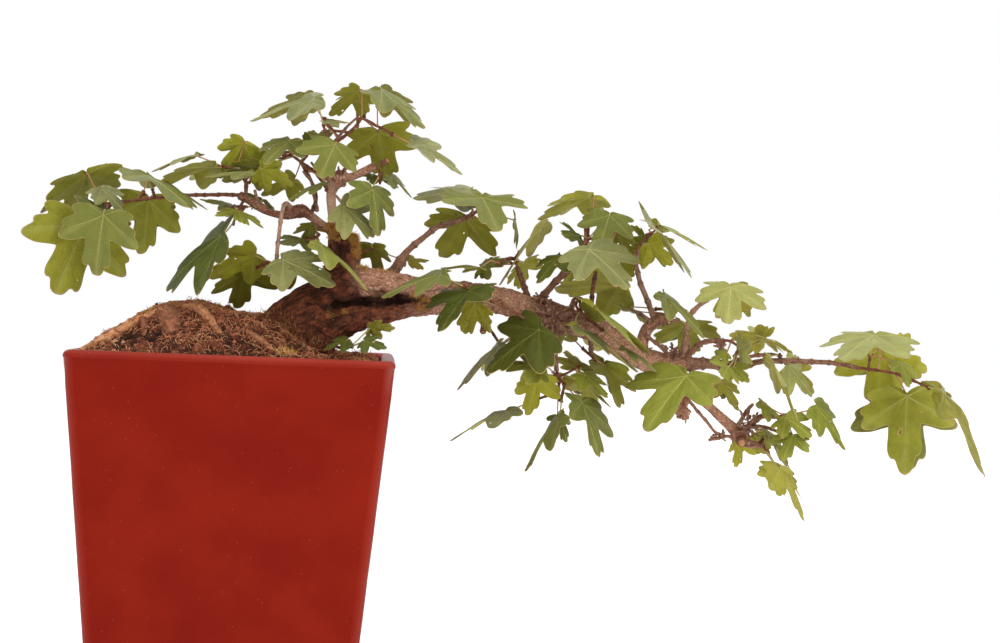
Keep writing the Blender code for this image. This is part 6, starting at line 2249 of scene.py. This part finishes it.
def smooth_loop(points: Array, steps: int) -> Array:
    """A closed Catmull-Rom curve through plane points, with `steps` points from each to the next."""
    before, after, beyond = (np.roll(points, shift, axis=0)[:, None] for shift in (1, -1, -2))
    here = points[:, None]
    t = (np.arange(steps) / steps)[None, :, None]
    cubic = 2 * here + (after - before) * t + (2 * before - 5 * here + 4 * after - beyond) * t**2
    cubic = cubic + (3 * here - before - 3 * after + beyond) * t**3
    return (cubic / 2).reshape(-1, 2)


LEAF_GROUPS = {
    "left": ("left_tip", "left_top", "left_low", "inner", "hanging"),
    "crown": ("apex", "stub", "trunk_left", "trunk_right", "rising_near", "foot", "top_stub"),
    "middle": ("knot", "rising_far", "upright", "hanging_spur", "limb_front", "limb_under"),
    "right": ("thin_bough", "fork", "junction", "short_twig", "big_leaf", "second"),
    "end": ("end", "lower_tip", "lower_drop"),
}


@dataclass(frozen=True)
class Foliage:
    """All masses of foliage: grown by the rule of the solids, then dressed with fine leaves and stalks."""

    stalk_girth: float = 0.5
    stalk_rings: int = 11
    red_stalks: float = 0.55
    buds_in_one: int = 3

    def wood_trees(self) -> list[BVHTree]:
        """Search trees of the solid wood, the earth and the pot."""
        made = []
        for name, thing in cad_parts.items():
            if name.startswith("foliage_"):
                continue
            points = np.empty(len(thing.data.vertices) * 3)
            thing.data.vertices.foreach_get("co", points)
            made.append(tree_of(points.reshape(-1, 3) / MM, [face.vertices for face in thing.data.polygons]))
        return made

    def grow(self) -> dict[str, Growth]:
        """Every mass, grown in the order of the table."""
        fixed = self.wood_trees()
        grown = {}
        for mass in MASSES:
            growth = Growth(mass, fixed)
            growth.grow()
            fixed = fixed + growth.trees()
            grown[mass.name.removeprefix("foliage_")] = growth
        return grown

    def leaves_piece(self, group: str, growths: list[Growth]) -> None:
        """One group's blades and veins as one piece."""
        used = {leaf.tint for growth in growths for leaf, _ in growth.leaves}
        tints = sorted(used, key=lambda tint: tint.name)
        materials = [material for tint in tints for material in LEAF_MATERIALS[tint]]
        margin = len(materials)
        materials += [LEAF_EXTRAS["margin"], LEAF_EXTRAS["spot"]]
        pile = Pile()
        for growth in growths:
            for number, (leaf, _) in enumerate(growth.leaves):
                shape = BladeShape(leaf, growth.mass.seed * LEAF_SEEDS + number)
                first = 4 * tints.index(leaf.tint)
                kinds_to = np.array((first, first + 1, margin, margin + 1))
                points, faces, kinds, marks = shape.grid()
                pile.add(points, faces, kinds_to[kinds], marks)
                pile.add(*shape.main_veins(), first + 2)
                pile.add(*shape.side_veins(), first + 3)
        pile.build(f"leaves_{group}", materials, [growth.mass.name for growth in growths], "leaves")

    def stalk(self, route: Array, chance: np.random.Generator) -> tuple[Array, Array]:
        """A leaf stalk, smooth along its route, swollen where it leaves the twig and at the blade."""
        length = np.sum(np.linalg.norm(np.diff(route[:, :3], axis=0), axis=1))
        path = smooth_path(route, max(1.0, length / self.stalk_rings))
        t = np.linspace(0, 1, len(path))
        swollen = 1 + 0.9 * np.exp(-((t / 0.07) ** 2)) + 0.35 * np.exp(-(((1 - t) / 0.05) ** 2))
        sag = np.sin(math.pi * t)[:, None] * chance.normal(0, 0.4, 3)
        return tubes((path[:, :3] + sag)[None], self.stalk_girth * swollen[None], 6)

    def twigs_piece(self, growths: Iterable[Growth]) -> None:
        """The stems, twigs and stalks of all masses, with small buds at their ends and nodes."""
        pile = Pile()
        boughs = Boughs(sides=9, step=1.3, ring_every=7.0, seed=90)
        number = 0
        for growth in growths:
            chance = np.random.default_rng(growth.mass.seed * STALK_SEEDS)
            buds = [growth.stem[-1, :3]]
            wood = [growth.stem]
            for _, route in growth.leaves:
                twig = route[route[:, 3] > STALK_RADIUS]
                stalk = route[route[:, 3] <= STALK_RADIUS]
                if len(twig):
                    wood.append(twig)
                    buds.append(twig[-1, :3])
                    stalk = np.vstack(((*twig[-1, :3], STALK_RADIUS), stalk))
                kind = 1 if chance.random() < self.red_stalks else 2
                pile.add(*self.stalk(stalk, chance), kind)
            for route in wood:
                number += 1
                boughs.add(pile, route, number, 0.3)
            centres = np.repeat(np.array(buds), self.buds_in_one, axis=0)
            centres = centres + chance.normal(0, 0.55, centres.shape)
            pile.add(*lumps(centres, chance.uniform(0.8, 1.35, len(centres)), chance), 0)
        materials = [
            BARKS["twig"],
            GrainFinish("stalk_red", (0.42, 0.17, 0.09), (0.52, 0.27, 0.13), 6.0, 0.55).make(),
            GrainFinish("stalk_green", (0.40, 0.33, 0.11), (0.50, 0.40, 0.16), 6.0, 0.55).make(),
        ]
        pile.build("twigs_and_stalks", materials, (), "bark")

    def build(self) -> None:
        """Grows and dresses all masses."""
        grown = self.grow()
        LOG.info("%d leaves grown", sum(len(growth.leaves) for growth in grown.values()))
        for group, names in LEAF_GROUPS.items():
            self.leaves_piece(group, [grown[name] for name in names])
        self.twigs_piece(grown.values())


@dataclass(frozen=True)
class MossPatch:
    """A patch of moss: its middle, its spread, how many blades it has and how long they are."""

    centre: tuple[float, float, float]
    spread: tuple[float, float, float]
    count: int
    length: float


MOSS = (
    MossPatch((55.5, -10, 341), (5.5, 7, 5), 1500, 1.5),
    MossPatch((52, -10, 333), (3, 6, 4), 380, 1.5),
    MossPatch((71, -9, 339), (3.2, 7, 5), 1100, 1.5),
    MossPatch((72, -9, 330), (2.6, 6, 5), 700, 1.4),
    MossPatch((76, -12, 316), (3.5, 5, 2.5), 380, 1.5),
    MossPatch((50, -14, 318), (2.5, 5, 3), 220, 1.4),
    MossPatch((90, -12, 316), (5, 5, 1.2), 160, 1.3),
    MossPatch((111.5, -12, 300), (3, 3, 1.6), 320, 1.4),
    MossPatch((119, -11, 299), (2.5, 3, 1.5), 220, 1.4),
    MossPatch((115, -12, 293), (2.5, 3, 1.6), 220, 1.4),
    MossPatch((57, -20, 286), (3, 4, 2), 60, 1.2),
    MossPatch((66, -20, 289), (2, 4, 1.5), 50, 1.2),
)
# Earth fibre that climbs the trunk's foot
LITTER = (
    MossPatch((20, -22, 280), (9, 14, 6), 900, 2.0),
    MossPatch((30, -26, 276), (8, 14, 6), 1100, 2.0),
    MossPatch((40, -26, 271), (7, 14, 5), 900, 2.0),
    MossPatch((47, -22, 266), (7, 12, 5), 700, 1.8),
)
BLADE_POINTS = 11  # a moss blade has three rings of three points and two poles
# Moss on the earth, as (x, y, spread, blades)
GROUND_MOSS = (
    (31, -68, 4, 320), (36, -66, 3, 160), (-20, -20, 26, 260), (-58, -12, 16, 160), (10, 30, 24, 240),
    (60, 40, 18, 160), (-40, 50, 24, 200), (82, -80, 5, 200),
)


@dataclass(frozen=True)
class Moss:
    """Dry moss on the stump, in the forks and on the earth, and fibre on the trunk's foot.

    The shares are those of the four tints: olive, brown, straw and the litter's brown.
    """

    seed: int = 77
    moss_shares: tuple[float, ...] = (0.5, 0.3, 0.2, 0.0)
    litter_shares: tuple[float, ...] = (0.04, 0.08, 0.05, 0.83)

    def on_wood(
        self, skin: bpy.types.Object, patches: tuple[MossPatch, ...], chance: np.random.Generator
    ) -> tuple[Array, Array]:
        """Blades rooted on the bark, at random points of the skin inside the patches.

        Args:
            skin: The piece of thick wood.
            patches: Where the blades grow.
            chance: Source of chance.

        Returns:
            Points and faces.
        """
        mesh = skin.data
        points, normals = np.empty(len(mesh.vertices) * 3), np.empty(len(mesh.vertices) * 3)
        mesh.vertices.foreach_get("co", points)
        mesh.vertex_normals.foreach_get("vector", normals)
        points, normals = points.reshape(-1, 3) / MM, normals.reshape(-1, 3)
        roots, outwards, lengths = [], [], []
        for patch in patches:
            near = spreads_away(points, patch)
            chosen = np.where(near < 1.5)[0]
            weight = np.exp(-(near[chosen] ** 2)) * (lattice_noise(points[chosen], 4.0, 8) > -0.3)
            if not weight.sum():
                continue
            picked = chance.choice(chosen, patch.count, p=weight / weight.sum())
            roots.append(points[picked] - normals[picked] * 0.3 + chance.normal(0, 0.35, (patch.count, 3)))
            outwards.append(unit(normals[picked] + chance.normal(0, 0.4, (patch.count, 3))))
            lengths.append(patch.length * chance.uniform(0.5, 1.2, patch.count))
        return tufts(np.vstack(roots), np.vstack(outwards), np.concatenate(lengths), chance, 0.75)

    def on_ground(self, chance: np.random.Generator) -> tuple[Array, Array]:
        """Blades rooted in the earth in round patches."""
        plans = []
        for x, y, spread, count in GROUND_MOSS:
            plans.append(np.array((x, y)) + chance.normal(0, spread * 0.5, (count, 2)))
        limit = POT.half(MOUND.edge) - POT.wall - 2
        plan = np.clip(np.vstack(plans), -limit, limit)
        kept = lattice_noise(np.column_stack((plan, np.zeros(len(plan)))), 5.0, 17) > -0.2
        plan = plan[kept]
        roots = np.column_stack((plan, MOUND.surface(plan[:, 0], plan[:, 1]) - 0.2))
        outwards = unit(np.array((0, 0, 1.0)) + chance.normal(0, 0.5, roots.shape))
        return tufts(roots, outwards, chance.uniform(1.4, 3.2, len(roots)), chance)

    def build(self, skin: bpy.types.Object) -> None:
        """All moss and the climbing earth fibre as one piece in four tints."""
        chance = np.random.default_rng(self.seed)
        pile = Pile()
        kinds = (
            (self.on_wood(skin, MOSS, chance), self.moss_shares),
            (self.on_wood(skin, LITTER, chance), self.litter_shares),
            (self.on_ground(chance), self.moss_shares),
        )
        for (points, faces), shares in kinds:
            blades = len(points) // BLADE_POINTS
            tints = chance.choice(len(shares), blades, p=shares)
            pile.add(points, faces, np.repeat(tints, len(faces) // blades))
        finishes = (
            GrainFinish("moss_olive", (0.56, 0.30, 0.05), (0.74, 0.44, 0.10), 2.0, 0.85),
            GrainFinish("moss_brown", (0.46, 0.15, 0.035), (0.64, 0.26, 0.07), 2.0, 0.85),
            GrainFinish("moss_straw", (0.76, 0.48, 0.15), (0.88, 0.62, 0.26), 2.0, 0.85),
            GrainFinish("litter_brown", (0.20, 0.062, 0.03), (0.38, 0.135, 0.065), 2.0, 0.9),
        )
        pile.build("moss", [finish.make() for finish in finishes], (), "soil")


@dataclass(frozen=True)
class Studio:
    """A pale floor, soft light and the camera of the photograph."""

    eye: tuple[float, float, float] = (89.1, -1163.9, 292.7)
    yaw: float = 0.0682
    pitch: float = -0.0055
    roll: float = 0.0396
    lens: float = 63.3
    sensor: float = 36.0
    sight_end: float = 50.0
    floor_half: float = 6000.0
    surround: float = 0.9
    aim: tuple[float, float, float] = (0.15, 0.0, 0.3)

    def place_camera(self) -> None:
        """Turns the camera by yaw from +Y towards +X, then by pitch upwards, then by roll about its sight."""
        level_share = math.cos(self.pitch)
        ahead = (math.sin(self.yaw) * level_share, math.cos(self.yaw) * level_share, math.sin(self.pitch))
        sight = np.array(ahead)
        level = unit(np.cross(sight, (0, 0, 1.0)))
        above = np.cross(level, sight)
        right = math.cos(self.roll) * level + math.sin(self.roll) * above
        up = -math.sin(self.roll) * level + math.cos(self.roll) * above
        data = bpy.data.cameras.new("camera")
        data.lens, data.sensor_width, data.clip_end = self.lens, self.sensor, self.sight_end
        camera = bpy.data.objects.new("camera", data)
        turn = Matrix((right, up, -sight)).transposed().to_4x4()
        camera.matrix_world = Matrix.Translation(Vector(self.eye) * MM) @ turn
        bpy.context.scene.collection.objects.link(camera)
        bpy.context.scene.camera = camera

    def lay_floor(self) -> None:
        """A large plain floor that the pot stands on."""
        half = self.floor_half * MM
        mesh = bpy.data.meshes.new("floor")
        corners = [(-half, -half, 0), (half, -half, 0), (half, half, 0), (-half, half, 0)]
        mesh.from_pydata(corners, [], [(0, 1, 2, 3)])
        shader = Shader("floor", 0.9, Specular_IOR_Level=0.1, Emission_Strength=0.4)
        shader.principled.inputs["Emission Color"].default_value = (1.0, 1.0, 1.0, 1.0)
        shader.colour(shader.mix(shader.noise(900.0, 1.0), (0.90, 0.90, 0.90), (0.93, 0.93, 0.93)))
        mesh.materials.append(shader.material)
        floor = bpy.data.objects.new("floor", mesh)
        bpy.context.scene.collection.objects.link(floor)

    def hang_light(
        self, name: str, place: tuple[float, float, float], size: float, power: float, tint: Colour
    ) -> None:
        """A square soft light that looks at the crown.

        Args:
            name: Its name.
            place: Where it hangs, in metres.
            size: Its edge in metres.
            power: In watts.
            tint: Its colour.
        """
        data = bpy.data.lights.new(name, "AREA")
        data.energy, data.size, data.color = power, size, tint
        light = bpy.data.objects.new(name, data)
        towards = Vector(self.aim) - Vector(place)
        light.rotation_euler = towards.to_track_quat("-Z", "Y").to_euler()
        light.location = place
        bpy.context.scene.collection.objects.link(light)

    def light(self) -> None:
        """A soft surround, white to the eye, with soft boxes above, at the right in front and behind."""
        world = bpy.data.worlds.new("surround")
        world.use_nodes = True
        tree = world.node_tree
        background = tree.nodes["Background"]
        background.inputs["Color"].default_value = (1.0, 1.0, 1.0, 1.0)
        seen = tree.nodes.new("ShaderNodeMapRange")
        seen.inputs["To Min"].default_value = self.surround
        tree.links.new(tree.nodes.new("ShaderNodeLightPath").outputs["Is Camera Ray"], seen.inputs["Value"])
        tree.links.new(seen.outputs["Result"], background.inputs["Strength"])
        bpy.context.scene.world = world
        self.hang_light("top", (0.2, -0.9, 2.1), 1.6, 11.0, (1.0, 1.0, 1.0))
        self.hang_light("front", (1.3, -2.0, 0.9), 1.2, 10.0, (1.0, 0.99, 0.97))
        self.hang_light("back", (0.4, 1.6, 1.6), 1.6, 6.0, (1.0, 1.0, 1.0))
        bpy.context.scene.view_settings.view_transform = "Standard"

    def build(self) -> None:
        """Sets the whole stage."""
        self.place_camera()
        self.lay_floor()
        self.light()


POT = Pot()
MOUND = Mound()
BARKS: dict[str, bpy.types.Material] = {}
LEAF_MATERIALS: dict[Tint, list[bpy.types.Material]] = {}
LEAF_EXTRAS: dict[str, bpy.types.Material] = {}


def make_finishes() -> None:
    """Makes the finishes that several pieces share."""
    for name, finish in BARK_FINISHES.items():
        BARKS[name] = finish.make()
    for tint, finish in LEAF_FINISHES.items():
        LEAF_MATERIALS[tint] = finish.make(tint)
    margin = GrainFinish("leaf_margin", (0.36, 0.24, 0.07), (0.44, 0.33, 0.12), 8.0, 0.6)
    spot = GrainFinish("leaf_spot", (0.36, 0.22, 0.05), (0.46, 0.31, 0.08), 2.0, 0.7)
    LEAF_EXTRAS["margin"], LEAF_EXTRAS["spot"] = margin.make(), spot.make()


def main() -> None:
    """Builds the pieces in order and reports each."""
    logging.basicConfig(level=logging.INFO, format="%(name)s: %(message)s")
    Studio().build()
    make_finishes()
    POT.build()
    MOUND.build_ground(EarthFinish().make())
    MOUND.build_fibre()
    MOUND.build_crumbs()
    skin = Skin().build(BARKS["trunk"])
    Boughs().build(BARKS["bough"])
    Foliage().build()
    Moss().build(skin)


if __name__ == "__main__":
    main()
